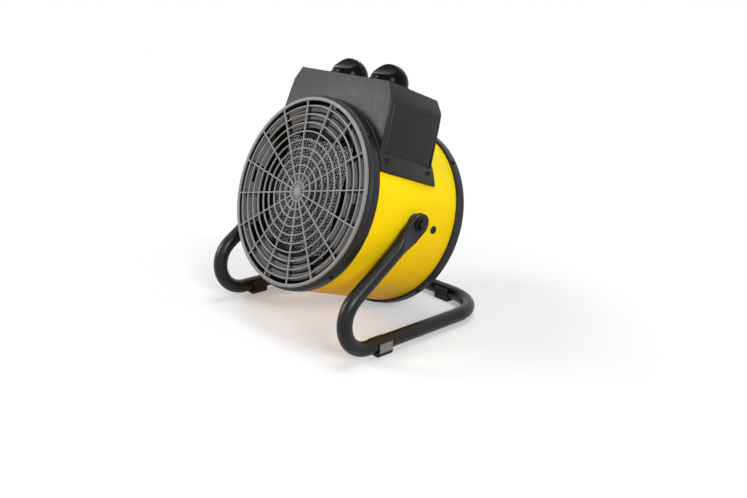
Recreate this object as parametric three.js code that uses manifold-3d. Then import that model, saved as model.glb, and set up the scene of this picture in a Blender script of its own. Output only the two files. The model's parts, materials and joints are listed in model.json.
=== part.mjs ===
// A small round forced-air heater: a steel drum with a ceramic heating element and a fan,
// a control box on its back, and a bent tube stand that the drum tilts in.
// Millimetres, +Z up, the front grille faces -Y. The origin is the middle of the footprint, on the floor.
// Pieces of the drum are drawn in the drum's own axes: X across, Y rearwards from the front face, Z up.

import * as THREE from 'three';
import { mergeVertices } from 'three/addons/utils/BufferGeometryUtils.js';
import Module from 'manifold-3d';

const wasm = await Module();
wasm.setup();

// ---------------------------------------------------------------- driving dimensions

const clearance = 0.3; // between two pieces that seat on each other
const overcut = 1; // how far a cut runs past the faces that it opens
const edgeBreak = 1; // small bevel along an edge
const tilt = THREE.MathUtils.degToRad( 18.9 ); // the drum's nose points this far up

// stand
const tubeRadius = 8.5;
const frontBendRadius = 34.5;
const rearCornerRadius = 49.5;
const standRun = 196.6; // front bend's centre to the rear crossbar
const pivotSetback = 69.5; // pivot behind the front bend's centre
const drumFloorGap = 4; // rear ring above the floor
const eyeHalfWidth = 12.8; // the flattened tube end
const eyeThickness = 6;
const eyeTaper = 28; // length over which the flattened end becomes round
const footWall = 1.2; // beside the tube
const footSole = 3.2; // below the tube
const footEar = 5; // top of a foot's ears above the tube's middle
const footRounding = 5; // height of the round corner beside its sole
const soleWidth = 11;
const footLength = 21;
const frontFootGap = 8.5; // from the front bend
const rearFootGap = 4.4; // from the rear corner

// pivot
const pivotDepth = 80.5; // behind the front face
const pivotLift = 2.7; // above the drum's axis
const pivotBoltRadius = 4;
const pivotBoltTail = 2; // past its nut
const pivotBoltHeadRadius = 8;
const pivotBoltHeadHeight = 5;
const pivotNutHeight = 4.5;
const spacerRadius = 11;
const spacerLength = 4.3;

// drum shell and its end rings
const shellRadius = 109;
const shellWall = 1.2;
const frontRingWall = 1.7;
const frontRingDepth = 16.7;
const frontRingSlope = 3; // length of its sloping front edge
const frontLipReach = 5.5; // in from the shell's outside
const frontLipWall = 2.2;
const drumLength = 161.5;
const rearRingWall = 2.9;
const rearRingDepth = 12.8;
const rearRingRounding = 2;
const rearLipReach = 9; // in from the shell's outside
const rearLipWall = 5;

// front grille
const grilleDepth = 3;
const barWidth = 2;
const flangeInset = 3.5; // in from the front ring's outside
const flangeWidth = 3;
const grilleHubRadius = 9;
const innerBarRadius = 20.5;
const outerBarGap = 7; // outermost bar to the flange
const barCount = 9;
const spokeCount = 16;
const spokeTurn = THREE.MathUtils.degToRad( 9.5 );

// guide plate behind the grille
const guidePlateWall = 2;
const guideGap = 4.7; // in from the front ring's lip
const guideWidth = 25;
const guideTabWidth = 7;
const guideTabInset = 1.5; // in from the shell
const guideWindowRim = 4.8; // left outside a window
const guideWindowAngle = THREE.MathUtils.degToRad( 40 ); // from the vertical
const guideWindowSpan = THREE.MathUtils.degToRad( 22 );
const guideSlotInset = 8.8; // middle of a slot in from the plate's rim
const guideSlotWidth = 6;
const guideSlotHeight = 13;

// heating element
const elementSetback = 15.5; // its face behind the front face
const elementWidth = 106;
const elementHeight = 134;
const elementDepth = 14;
const elementRibPitch = 12;
const elementRibGap = 1.6;
const elementRibDepth = 2;
const endCapHeight = 12;
const endCapGrip = 5; // how far an end cap reaches over the element
const endCapWall = 2;
const baffleWall = 1.2;
const baffleSetback = 6; // behind the element's face
const cutOutRadius = 8;
const cutOutHeight = 6;

// fan and motor
const fanTipGap = 11.5; // blade tips to the shell
const fanSetback = 52;
const fanHubRadius = 23;
const fanHubDepth = 16;
const fanHubWall = 3;
const fanHubRounding = 4;
const bladeCount = 5;
const bladeWall = 1.8;
const bladeRootHalfWidth = 9;
const bladeSink = 1.5; // of a blade's root into the hub
const bladePitch = THREE.MathUtils.degToRad( 32 );
const shaftRadius = 3;
const shaftInMotor = 20;
const motorRadius = 30;
const motorLength = 30;
const motorBossRadius = 9;
const motorBossHeight = 4;
const motorGap = 3; // fan hub to the motor's boss
const strapWidth = 24;
const strapWall = 2;
const strapTabLength = 18;
const strapScrewInset = 10.3; // behind the strap's front

// rear guard
const guardInset = 1; // in front of the drum's rear end
const guardDepth = 3;
const guardBarWidth = 2.4;
const guardRimWidth = 4.8;
const guardHubRadius = 16;
const guardBarCount = 5;
const guardSpokeCount = 8;

// control box
const saddleGap = 1.3; // front ring to the saddle
const saddleWall = 2.6;
const saddleFrontMargin = 2.4; // of the saddle before the box
const saddleRearMargin = 3.5; // and behind it
const saddleHalfAngle = THREE.MathUtils.degToRad( 65 );
const boxLength = 83.6;
const boxTopRise = 31.6; // above the shell
const boxTopInset = 34; // half-width short of the shell's radius
const boxShoulderRise = 17;
const boxShoulderInset = 25.5;
const boxWaistRise = 3;
const boxWaistInset = 23.3;
const boxFootDrop = 55; // below the shell's top
const boxFootInset = 17.5;
const boxWall = 2.5;
const boxRearChamfer = 4; // in from the rear
const boxRearChamferDrop = 11; // down from the top
const boxFrontChamfer = 1.6;
const wiringWidth = 48; // the hole through the shell under the box
const wiringLength = 40;

// knobs, switch and thermostat
const knobSpread = 33.5; // a knob's axis from the middle of the box
const knobSetback = 39.6; // behind the box's front
const knobRadius = 22.2;
const knobBaseRadius = 23.8;
const knobBaseHeight = 4;
const knobHeight = 24.7;
const knobGripWidth = 13; // the grip left between two scoops
const knobScoopRadius = 20;
const knobScoopFloor = 8; // lowest point of a scoop above the knob's base
const knobStemRadius = 3;
const knobStemInKnob = 13;
const knobStemInBody = 8;
const switchSize = 32;
const switchHeight = 22;
const thermostatRadius = 16;
const thermostatHeight = 18;
const terminalLength = 44;
const terminalDepth = 13;
const terminalHeight = 14;
const terminalShift = 12; // its middle left of the box's middle
const terminalDrop = 22.1; // its middle below the box's top
const terminalPoles = 4;
const terminalWellRadius = 2.5;

// cable entry, with nothing in it
const glandPlace = 45;
const glandDrop = 24.6; // its middle below the box's top
const glandBoreRadius = 3.7;
const glandMouthWall = 1.5;
const glandThreadRadius = 6.5;
const glandFlangeRadius = 9.5;
const glandFlangeHeight = 4.5;
const glandDomeRadius = 7.8;
const glandDomeHeight = 11;
const glandInside = 8;
const glandNutHeight = 4;

// screws
const screwRadius = 1.6;
const screwHeadRadius = 2.9;
const screwHeadHeight = 1.4;
const screwLength = 5;
const ringScrewAngles = [ 44.3, 133.5, 226.5, 315.7 ].map( THREE.MathUtils.degToRad );
const frontScrewInset = 7.6; // from the front ring's rear edge
const rearScrewInset = 4; // from the rear ring's front edge
const saddleScrewAngle = THREE.MathUtils.degToRad( 57.9 );
const saddleScrewInset = 10; // from the saddle's front and rear edges
const lidScrewInset = 11;

// facets round a full circle
const fineSides = 48;
const middleSides = 24;
const coarseSides = 12;
const outerBarSides = 32;
const innerBarSides = 16;
const screwSides = 8;
const hexSides = 6;

// ---------------------------------------------------------------- worked-out places

// along the drum, from its front face
const frontLipFront = grilleDepth + clearance;
const frontLipRear = frontLipFront + frontLipWall;
const rearLipFront = drumLength - rearLipWall;
const shellFront = frontLipRear + clearance;
const shellRear = rearLipFront - clearance;
const frontScrewDepth = frontRingDepth - frontScrewInset;
const rearScrewDepth = drumLength - rearRingDepth + rearScrewInset;
const elementRear = elementSetback + elementDepth;
const baffleFront = elementSetback + baffleSetback;
const fanHubRear = fanSetback + fanHubDepth;
const motorBossFront = fanHubRear + motorGap;
const motorFront = motorBossFront + motorBossHeight;
const motorRear = motorFront + motorLength;
const strapFront = motorRear + clearance;
const strapScrewDepth = strapFront + strapScrewInset;
const saddleFront = frontRingDepth + saddleGap;
const boxFront = saddleFront + saddleFrontMargin;
const boxRear = boxFront + boxLength;
const saddleRear = boxRear + saddleRearMargin;
const knobDepth = boxFront + knobSetback;

// out from the drum's axis
const shellInnerRadius = shellRadius - shellWall;
const seatRadius = shellRadius + clearance; // what goes round the shell
const fitRadius = shellInnerRadius - clearance; // what goes inside it
const frontRingRadius = seatRadius + frontRingWall;
const frontLipRadius = shellRadius - frontLipReach;
const rearRingRadius = seatRadius + rearRingWall;
const rearLipRadius = shellRadius - rearLipReach;
const flangeOuterRadius = frontRingRadius - flangeInset;
const flangeInnerRadius = flangeOuterRadius - flangeWidth;
const barPitch = ( flangeInnerRadius - outerBarGap - innerBarRadius ) / ( barCount - 1 );
const guideOuterRadius = frontLipRadius - guideGap;
const guideInnerRadius = guideOuterRadius - guideWidth;
const cutOutPlace = ( elementWidth / 2 + fitRadius ) / 2;
const fanRadius = fitRadius - fanTipGap;
const boxTop = shellRadius + boxTopRise;
const boxTopHalfWidth = shellRadius - boxTopInset;
const boxFootHeight = shellRadius - boxFootDrop;
const boxFootHalfWidth = shellRadius - boxFootInset;
const boxCeiling = boxTop - boxWall;
const terminalLift = boxTop - terminalDrop;
const glandLift = boxTop - glandDrop;

// the pivot and the stand
const boreRadius = pivotBoltRadius + clearance;
const eyeInner = seatRadius + spacerLength + clearance;
const standHalfWidth = eyeInner + eyeThickness / 2;
const eyeOuter = eyeInner + eyeThickness;
const footBore = tubeRadius + clearance;
const footHalfWidth = footBore + footWall;
const tubeHeight = footBore + footSole; // the feet hold the tube's middle this far up
const standDepth = frontBendRadius + tubeRadius + standRun + footHalfWidth;
const bendY = - standDepth / 2 + tubeRadius + frontBendRadius;
const crossbarY = bendY + standRun;
const pivotY = bendY + pivotSetback;
const lowestAcross = ( rearRingRadius + pivotLift ) * Math.cos( tilt );
const lowestAlong = ( drumLength - pivotDepth ) * Math.sin( tilt );
const pivotHeight = drumFloorGap + lowestAcross + lowestAlong;
const frontFootY = bendY + frontFootGap + footLength / 2;
const rearFootX = standHalfWidth - rearCornerRadius - rearFootGap - footLength / 2;

// ---------------------------------------------------------------- materials

function paint( color, roughness, metalness = 0 ) {

	return new THREE.MeshStandardMaterial( { color, roughness, metalness } );

}

const finish = {
	yellowPaint: paint( 0xf0c61c, 0.4 ),
	blackPaint: paint( 0x1b1b1b, 0.4 ),
	blackPlastic: paint( 0x2e2e2d, 0.65 ),
	greyPlastic: paint( 0x7a7c7b, 0.6 ),
	knobPlastic: paint( 0x101010, 0.2 ),
	rubber: paint( 0x202020, 0.8 ),
	darkSteel: paint( 0x3c3c3c, 0.5, 0.8 ),
	zinc: paint( 0x9a9a98, 0.4, 0.9 ),
	galvanised: paint( 0x6f7170, 0.5, 0.8 ),
	aluminium: paint( 0xb5b7b8, 0.4, 0.9 ),
	heatPlastic: paint( 0x4a3428, 0.7 ),
	fanPlastic: paint( 0x262626, 0.5 ),
	palePlastic: paint( 0xd8d4c8, 0.6 )
};

// ---------------------------------------------------------------- solids

// Closed geometry to a solid that can be joined and cut.
function solid( geometry ) {

	const bare = geometry.clone();
	bare.deleteAttribute( 'normal' );
	bare.deleteAttribute( 'uv' );
	const merged = mergeVertices( bare );
	const corners = merged.index.array;
	const triVerts = [];
	for ( let i = 0; i < corners.length; i += 3 ) {

		const [ a, b, c ] = corners.slice( i, i + 3 );
		if ( a !== b && b !== c && c !== a ) triVerts.push( a, b, c );

	}

	return new wasm.Manifold( new wasm.Mesh( {
		numProp: 3,
		vertProperties: merged.attributes.position.array,
		triVerts: new Uint32Array( triVerts )
	} ) );

}

function toGeometry( joined ) {

	const mesh = joined.getMesh();
	const geometry = new THREE.BufferGeometry();
	geometry.setAttribute( 'position', new THREE.BufferAttribute( mesh.vertProperties, 3 ) );
	geometry.setIndex( new THREE.BufferAttribute( mesh.triVerts, 1 ) );
	geometry.computeVertexNormals();
	return geometry;

}

function join( pieces ) {

	return pieces.reduce( ( whole, piece ) => whole.add( piece ) );

}

function cut( body, tools ) {

	return tools.reduce( ( rest, tool ) => rest.subtract( tool ), body );

}

// Profile points are [ radius, distance along Y ], with the outside running towards +Y.
function turned( profile, sides = fineSides ) {

	return new THREE.LatheGeometry( profile.map( ( [ r, y ] ) => new THREE.Vector2( r, y ) ), sides );

}

function disc( radius, y0, y1, sides = fineSides ) {

	return turned( [ [ 0, y0 ], [ radius, y0 ], [ radius, y1 ], [ 0, y1 ] ], sides );

}

function ring( inner, outer, y0, y1, sides = fineSides ) {

	return turned( [ [ inner, y0 ], [ outer, y0 ], [ outer, y1 ], [ inner, y1 ], [ inner, y0 ] ], sides );

}

// A box between two corners.
function block( x0, x1, y0, y1, z0, z1 ) {

	const geometry = new THREE.BoxGeometry( x1 - x0, y1 - y0, z1 - z0 );
	return geometry.translate( ( x0 + x1 ) / 2, ( y0 + y1 ) / 2, ( z0 + z1 ) / 2 );

}

// An outline in X and Z, made solid from y0 to y1.
function slab( outline, y0, y1 ) {

	const geometry = new THREE.ExtrudeGeometry( outline, { depth: y1 - y0, bevelEnabled: false } );
	return geometry.rotateX( Math.PI / 2 ).translate( 0, y1, 0 );

}

function outlineOf( points ) {

	return new THREE.Shape( points.map( ( [ x, z ] ) => new THREE.Vector2( x, z ) ) );

}

// A turned piece stood on end: its axis runs up from the point given.
function upright( geometry, x, y, z ) {

	return geometry.rotateX( Math.PI / 2 ).translate( x, y, z );

}

// A turned piece laid across: its axis runs outwards along X on the side given.
function sideways( geometry, side ) {

	return geometry.rotateZ( - side * Math.PI / 2 );

}

function piece( name, geometry, material ) {

	const mesh = new THREE.Mesh( geometry, material );
	mesh.name = name;
	return mesh;

}

const sides = [ [ 'right', 1 ], [ 'left', - 1 ] ];

// ---------------------------------------------------------------- stand

// A tube's middle line given by its bend points, so that straight lengths take one step each.
class BentLine extends THREE.Curve {

	constructor( stations ) {

		super();
		this.stations = stations;

	}

	getPoint( t ) {

		return this.stations[ Math.round( t * ( this.stations.length - 1 ) ) ].clone();

	}

	getPointAt( u ) {

		return this.getPoint( u );

	}

	getTangentAt( u ) {

		const last = this.stations.length - 1;
		const here = Math.round( u * last );
		const before = this.stations[ Math.max( here - 1, 0 ) ];
		const after = this.stations[ Math.min( here + 1, last ) ];
		const along = this.stations[ here ].clone().sub( before ).normalize();
		return along.add( after.clone().sub( this.stations[ here ] ).normalize() ).normalize();

	}

}

// The leg leaves the front bend on a tangent that passes through the pivot.
const bendHeight = tubeHeight + frontBendRadius;
const pivotReach = Math.hypot( pivotY - bendY, pivotHeight - bendHeight );
const pivotBearing = Math.atan2( pivotHeight - bendHeight, pivotY - bendY );
const legStart = pivotBearing + Math.acos( frontBendRadius / pivotReach );
const legDirection = new THREE.Vector3( 0, Math.sin( legStart ), - Math.cos( legStart ) );

// Stations from the end of one eye to the middle of the rear crossbar.
function halfStand( side ) {

	const x = side * standHalfWidth;
	const pivot = new THREE.Vector3( x, pivotY, pivotHeight );
	const fromPivot = [ - 0.97, - 0.8, - 0.45, 0, 1, 1 + eyeTaper / 3 / eyeHalfWidth,
		1 + eyeTaper / 1.5 / eyeHalfWidth, 1 + eyeTaper / eyeHalfWidth ];
	const stations = fromPivot.map( ( k ) => pivot.clone().addScaledVector( legDirection, - k * eyeHalfWidth ) );

	const frontMost = Math.PI;
	const frontSteps = 3; // down to the bend's front-most point, and twice as many on from there
	for ( let i = 0; i <= 3 * frontSteps; i ++ ) {

		const above = THREE.MathUtils.lerp( legStart, frontMost, Math.min( i / frontSteps, 1 ) );
		const angle = above + Math.max( i / frontSteps - 1, 0 ) * Math.PI / 4;
		stations.push( new THREE.Vector3(
			x,
			bendY + frontBendRadius * Math.cos( angle ),
			bendHeight + frontBendRadius * Math.sin( angle )
		) );

	}

	const rearSteps = 7;
	for ( let i = 0; i <= rearSteps; i ++ ) {

		const angle = i / rearSteps * Math.PI / 2;
		stations.push( new THREE.Vector3(
			side * ( standHalfWidth - rearCornerRadius * ( 1 - Math.cos( angle ) ) ),
			crossbarY - rearCornerRadius * ( 1 - Math.sin( angle ) ),
			tubeHeight
		) );

	}

	return stations;

}

// Presses the tube's ends flat and rounds them into eyes.
function flattenEnds( geometry ) {

	const position = geometry.attributes.position;
	const across = new THREE.Vector3( 0, - legDirection.z, legDirection.y );
	const point = new THREE.Vector3();
	for ( let i = 0; i < position.count; i ++ ) {

		point.fromBufferAttribute( position, i );
		const side = Math.sign( point.x );
		const fromPivot = new THREE.Vector3( 0, point.y - pivotY, point.z - pivotHeight );
		const down = - fromPivot.dot( legDirection );
		if ( down > eyeHalfWidth + eyeTaper || point.z < bendHeight ) continue;

		const roundness = Math.max( 0, ( down - eyeHalfWidth ) / eyeTaper );
		const halfThickness = THREE.MathUtils.lerp( eyeThickness / 2, tubeRadius, roundness );
		const fullWidth = THREE.MathUtils.lerp( eyeHalfWidth, tubeRadius, roundness );
		const halfWidth = down < 0 ? Math.sqrt( eyeHalfWidth ** 2 - down ** 2 ) : fullWidth;
		const sideways = THREE.MathUtils.clamp( side * point.x - standHalfWidth, - halfThickness, halfThickness );
		const offset = fromPivot.dot( across );
		point.addScaledVector( across, offset * ( halfWidth / tubeRadius - 1 ) );
		position.setXYZ( i, side * ( standHalfWidth + sideways ), point.y, point.z );

	}

	return geometry;

}

function standTube() {

	const right = halfStand( 1 );
	const left = halfStand( - 1 ).reverse();
	const line = new BentLine( [ ...right, ...left ] );
	const section = new THREE.Shape( new THREE.Path().absarc( 0, 0, tubeRadius, 0, 2 * Math.PI )
		.getPoints( coarseSides / 2 ) );
	const tube = flattenEnds( new THREE.ExtrudeGeometry( section, {
		steps: line.stations.length - 1, extrudePath: line, curveSegments: coarseSides
	} ) );
	const bores = sides.map( ( [ , side ] ) => {

		const bore = sideways( disc( boreRadius, eyeInner - overcut, eyeOuter + overcut, coarseSides ), side );
		return solid( bore.translate( 0, pivotY, pivotHeight ) );

	} );
	return piece( 'stand_tube', toGeometry( cut( solid( tube ), bores ) ), finish.blackPaint );

}

// A rubber clip that grips the tube from below, with a flat sole. Its tube runs along Y.
function footClip() {

	const earAngle = Math.asin( footEar / footBore );
	const side = footRounding - tubeHeight;
	const outline = new THREE.Shape();
	outline.moveTo( - footHalfWidth, footEar );
	outline.lineTo( - footHalfWidth, side );
	outline.quadraticCurveTo( - footHalfWidth, - tubeHeight, - soleWidth / 2, - tubeHeight );
	outline.lineTo( soleWidth / 2, - tubeHeight );
	outline.quadraticCurveTo( footHalfWidth, - tubeHeight, footHalfWidth, side );
	outline.lineTo( footHalfWidth, footEar );
	outline.absarc( 0, 0, footBore, earAngle, Math.PI - earAngle, true );
	return slab( outline, - footLength / 2, footLength / 2 );

}

function feet() {

	return sides.flatMap( ( [ hand, side ] ) => {

		const front = footClip().translate( side * standHalfWidth, frontFootY, tubeHeight );
		const rear = footClip().rotateZ( Math.PI / 2 ).translate( side * rearFootX, crossbarY, tubeHeight );
		return [
			piece( `front_foot_${ hand }`, front, finish.rubber ),
			piece( `rear_foot_${ hand }`, rear, finish.rubber )
		];

	} );

}

// ---------------------------------------------------------------- pivot hardware, in the drum's axes

function pivotHardware( hand, side ) {

	const place = ( geometry ) => sideways( geometry, side ).translate( 0, pivotDepth, pivotLift );
	const nutOuter = Math.sqrt( shellInnerRadius ** 2 - ( pivotBoltHeadRadius + pivotLift ) ** 2 ) - clearance;
	const nutInner = nutOuter - pivotNutHeight;
	const tail = nutInner - pivotBoltTail;
	const headInner = eyeOuter + clearance;
	const headOuter = headInner + pivotBoltHeadHeight;
	const bolt = turned( [
		[ 0, tail ], [ pivotBoltRadius, tail ], [ pivotBoltRadius, headInner ],
		[ pivotBoltHeadRadius, headInner ], [ pivotBoltHeadRadius, headOuter - edgeBreak ],
		[ pivotBoltHeadRadius - edgeBreak, headOuter ], [ 0, headOuter ]
	], coarseSides );
	const spacer = ring( boreRadius, spacerRadius, seatRadius, seatRadius + spacerLength, coarseSides );
	const nutBore = disc( boreRadius, nutInner - overcut, nutOuter + overcut, coarseSides );
	const nut = solid( disc( pivotBoltHeadRadius, nutInner, nutOuter, hexSides ) ).subtract( solid( nutBore ) );
	return [
		piece( `pivot_bolt_${ hand }`, place( bolt ), finish.darkSteel ),
		piece( `pivot_spacer_${ hand }`, place( spacer ), finish.rubber ),
		piece( `pivot_nut_${ hand }`, place( toGeometry( nut ) ), finish.zinc )
	];

}

// ---------------------------------------------------------------- screws

// A pan head screw, head outwards, its seat at zero.
function screw() {

	return turned( [
		[ 0, - screwLength ], [ screwRadius, - screwLength ], [ screwRadius, 0 ], [ screwHeadRadius, 0 ],
		[ screwHeadRadius, screwHeadHeight * 0.5 ], [ screwHeadRadius * 0.6, screwHeadHeight ],
		[ 0, screwHeadHeight ]
	], screwSides );

}

// A geometry along Y turned to point outwards from the drum's axis at an angle from the top.
function radial( geometry, angle, radius, depth ) {

	return geometry.translate( 0, radius, 0 ).rotateX( Math.PI / 2 ).rotateY( angle ).translate( 0, depth, 0 );

}

function screwHole( angle, depth ) {

	const inner = shellRadius - 2 * screwLength;
	const drill = disc( screwRadius + clearance, inner, rearRingRadius + overcut, screwSides );
	return solid( radial( drill, angle, 0, depth ) );

}

function ringScrews( end, radius, depth ) {

	return ringScrewAngles.map( ( angle, i ) => piece(
		`${ end }_ring_screw_${ i + 1 }`,
		radial( screw(), angle, radius + clearance, depth ),
		finish.darkSteel
	) );

}

// ---------------------------------------------------------------- drum

function drumShell() {

	const across = wiringWidth / 2;
	const front = knobDepth - wiringLength / 2;
	const top = shellRadius + overcut;
	const tools = [ solid( block( - across, across, front, front + wiringLength, shellRadius / 2, top ) ) ];
	for ( const [ , side ] of sides ) {

		const bore = sideways( disc( boreRadius, shellRadius - spacerRadius, top, coarseSides ), side );
		tools.push( solid( bore.translate( 0, pivotDepth, pivotLift ) ) );
		tools.push( screwHole( side * Math.PI / 2, strapScrewDepth ) );
		tools.push( screwHole( side * saddleScrewAngle, saddleFront + saddleScrewInset ) );
		tools.push( screwHole( side * saddleScrewAngle, saddleRear - saddleScrewInset ) );

	}

	for ( const angle of ringScrewAngles ) {

		tools.push( screwHole( angle, frontScrewDepth ), screwHole( angle, rearScrewDepth ) );

	}

	const tube = solid( ring( shellInnerRadius, shellRadius, shellFront, shellRear ) );
	return piece( 'drum_shell', toGeometry( cut( tube, tools ) ), finish.yellowPaint );

}

function frontRing() {

	const body = solid( turned( [
		[ frontLipRadius, frontLipFront ], [ flangeOuterRadius, frontLipFront ],
		[ frontRingRadius, frontLipFront + frontRingSlope ], [ frontRingRadius, frontRingDepth ],
		[ seatRadius, frontRingDepth ], [ seatRadius, frontLipRear ], [ frontLipRadius, frontLipRear ],
		[ frontLipRadius, frontLipFront ]
	] ) );
	const holes = ringScrewAngles.map( ( angle ) => screwHole( angle, frontScrewDepth ) );
	return piece( 'front_ring', toGeometry( cut( body, holes ) ), finish.blackPlastic );

}

function rearRing() {

	const front = drumLength - rearRingDepth;
	const body = solid( turned( [
		[ seatRadius, front ], [ rearRingRadius - edgeBreak, front ], [ rearRingRadius, front + edgeBreak ],
		[ rearRingRadius, drumLength - rearRingRounding ], [ rearRingRadius - rearRingRounding, drumLength ],
		[ rearLipRadius, drumLength ],
		[ rearLipRadius, rearLipFront ], [ seatRadius, rearLipFront ], [ seatRadius, front ]
	] ) );
	const holes = ringScrewAngles.map( ( angle ) => screwHole( angle, rearScrewDepth ) );
	return piece( 'rear_ring', toGeometry( cut( body, holes ) ), finish.blackPlastic );

}

// Cuts one opening of a guard: between two radii and two spokes, through the depth given.
function guardCell( [ low, high ], [ from, to ], steps, width, [ y0, y1 ] ) {

	const edge = ( radius, k ) => {

		const margin = Math.asin( width / 2 / radius );
		const angle = THREE.MathUtils.lerp( from + margin, to - margin, k / steps );
		return [ radius * Math.cos( angle ), radius * Math.sin( angle ) ];

	};

	const along = Array.from( { length: steps + 1 }, ( _, k ) => k );
	const outline = [
		...along.map( ( k ) => edge( low, k ) ), ...along.reverse().map( ( k ) => edge( high, k ) )
	];
	return solid( slab( outlineOf( outline ), y0 - overcut, y1 + overcut ) );

}

// Rings and spokes between a hub and a rim, through the depth given.
function guard( rim, radii, width, hub, spokes, depth ) {

	const edges = [ hub, ...radii.flatMap( ( r ) => [ r - width / 2, r + width / 2 ] ), rim[ 0 ] ];
	const step = 2 * Math.PI / spokes;
	const cells = [];
	for ( let row = 0; row < edges.length; row += 2 ) {

		const around = edges[ row + 1 ] > rim[ 0 ] / 2 ? outerBarSides : innerBarSides;
		for ( let i = 0; i < spokes; i ++ ) {

			const between = [ i * step, ( i + 1 ) * step ];
			cells.push( guardCell( edges.slice( row, row + 2 ), between, around / spokes, width, depth ) );

		}

	}

	return toGeometry( cut( solid( disc( rim[ 1 ], ...depth ) ), cells ) );

}

function frontGrille() {

	const radii = Array.from( { length: barCount }, ( _, i ) => innerBarRadius + i * barPitch );
	const rim = [ flangeInnerRadius, flangeOuterRadius ];
	const grille = guard( rim, radii, barWidth, grilleHubRadius, spokeCount, [ 0, grilleDepth ] );
	return piece( 'front_grille', grille.rotateY( spokeTurn ), finish.greyPlastic );

}

function rearGuard() {

	const outer = rearLipRadius - clearance;
	const rim = [ outer - guardRimWidth, outer ];
	const pitch = ( rim[ 0 ] - guardHubRadius ) / ( guardBarCount + 1 );
	const radii = Array.from( { length: guardBarCount }, ( _, i ) => guardHubRadius + ( i + 1 ) * pitch );
	const y1 = drumLength - guardInset;
	const depth = [ y1 - guardDepth, y1 ];
	const grid = guard( rim, radii, guardBarWidth, guardHubRadius, guardSpokeCount, depth );
	return piece( 'rear_guard', grid, finish.blackPlastic );

}

// A blank ring behind the grille, open at four corners and two slots, on tabs behind the ring's lip.
function guidePlate() {

	const y0 = frontLipRear + clearance;
	const y1 = y0 + guidePlateWall;
	const halfTab = guideTabWidth / 2;
	const parts = [ solid( ring( guideInnerRadius, guideOuterRadius, y0, y1 ) ) ];
	for ( let i = 0; i < spokeCount; i += 4 ) {

		const tab = block( - halfTab, halfTab, y0, y1, guideOuterRadius - overcut, fitRadius - guideTabInset );
		parts.push( solid( tab.rotateY( spokeTurn + i * 2 * Math.PI / spokeCount ) ) );

	}

	const windowShape = new THREE.Shape();
	const low = Math.PI / 2 - guideWindowSpan / 2;
	const high = Math.PI / 2 + guideWindowSpan / 2;
	windowShape.absarc( 0, 0, guideOuterRadius - guideWindowRim, low, high, false );
	windowShape.absarc( 0, 0, guideInnerRadius - overcut, high, low, true );
	const corners = [ 1, - 1 ].flatMap( ( k ) => [ k * guideWindowAngle, Math.PI + k * guideWindowAngle ] );
	const cutFront = y0 - overcut;
	const cutRear = y1 + overcut;
	const windows = corners.map( ( angle ) => solid( slab( windowShape, cutFront, cutRear ).rotateY( angle ) ) );
	const slots = sides.map( ( [ , side ] ) => {

		const x0 = side * ( guideOuterRadius - guideSlotInset ) - guideSlotWidth / 2;
		const up = guideSlotHeight / 2;
		return solid( block( x0, x0 + guideSlotWidth, cutFront, cutRear, - up, up ) );

	} );
	const plate = cut( join( parts ), [ ...windows, ...slots ] );
	return piece( 'guide_plate', toGeometry( plate ), finish.greyPlastic );

}

// ---------------------------------------------------------------- heating element

function heaterCore() {

	const ribs = [];
	const halfWidth = elementWidth / 2;
	for ( let x = - halfWidth + elementRibPitch; x < halfWidth - elementRibGap; x += elementRibPitch ) {

		const front = [ elementSetback - overcut, elementSetback + elementRibDepth ];
		const rear = [ elementRear - elementRibDepth, elementRear + overcut ];
		for ( const [ y0, y1 ] of [ front, rear ] ) {

			ribs.push( solid( block(
				x - elementRibGap / 2, x + elementRibGap / 2, y0, y1, - elementHeight, elementHeight
			) ) );

		}

	}

	const half = elementHeight / 2;
	const core = solid( block( - halfWidth, halfWidth, elementSetback, elementRear, - half, half ) );
	return piece( 'heater_core', toGeometry( cut( core, ribs ) ), finish.aluminium );

}

// A cap over each end of the element, seen from the middle of the element outwards.
function endCap( name, up ) {

	const inner = elementHeight / 2 - endCapGrip;
	const outer = inner + endCapHeight;
	const across = elementWidth / 2 + clearance + endCapWall;
	const front = elementSetback - clearance - endCapWall;
	const rear = elementRear + clearance + endCapWall;
	const shell = solid( block( - across, across, front, rear, inner, outer ) );
	const pocket = solid( block(
		- across + endCapWall, across - endCapWall, front + endCapWall, rear - endCapWall,
		inner - overcut, elementHeight / 2 + clearance
	) );
	const cap = toGeometry( shell.subtract( pocket ) );
	return piece( name, up > 0 ? cap : cap.rotateY( Math.PI ), finish.heatPlastic );

}

// A steel disc that fills the drum round the element and carries it.
function bafflePlate() {

	const across = elementWidth / 2 + endCapWall + 2 * clearance;
	const up = elementHeight / 2 - endCapGrip + endCapHeight + clearance;
	const rear = baffleFront + baffleWall;
	const plate = solid( disc( fitRadius, baffleFront, rear ) );
	const opening = solid( block( - across, across, baffleFront - overcut, rear + overcut, - up, up ) );
	return piece( 'baffle_plate', toGeometry( plate.subtract( opening ) ), finish.galvanised );

}

function thermalCutOut() {

	const seat = baffleFront + baffleWall + clearance;
	const body = turned( [
		[ 0, seat ], [ cutOutRadius, seat ], [ cutOutRadius, seat + cutOutHeight * 0.6 ],
		[ cutOutRadius * 0.7, seat + cutOutHeight ], [ 0, seat + cutOutHeight ]
	], coarseSides );
	return piece( 'thermal_cut_out', body.translate( cutOutPlace, 0, 0 ), finish.palePlastic );

}

// ---------------------------------------------------------------- fan and motor

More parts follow.
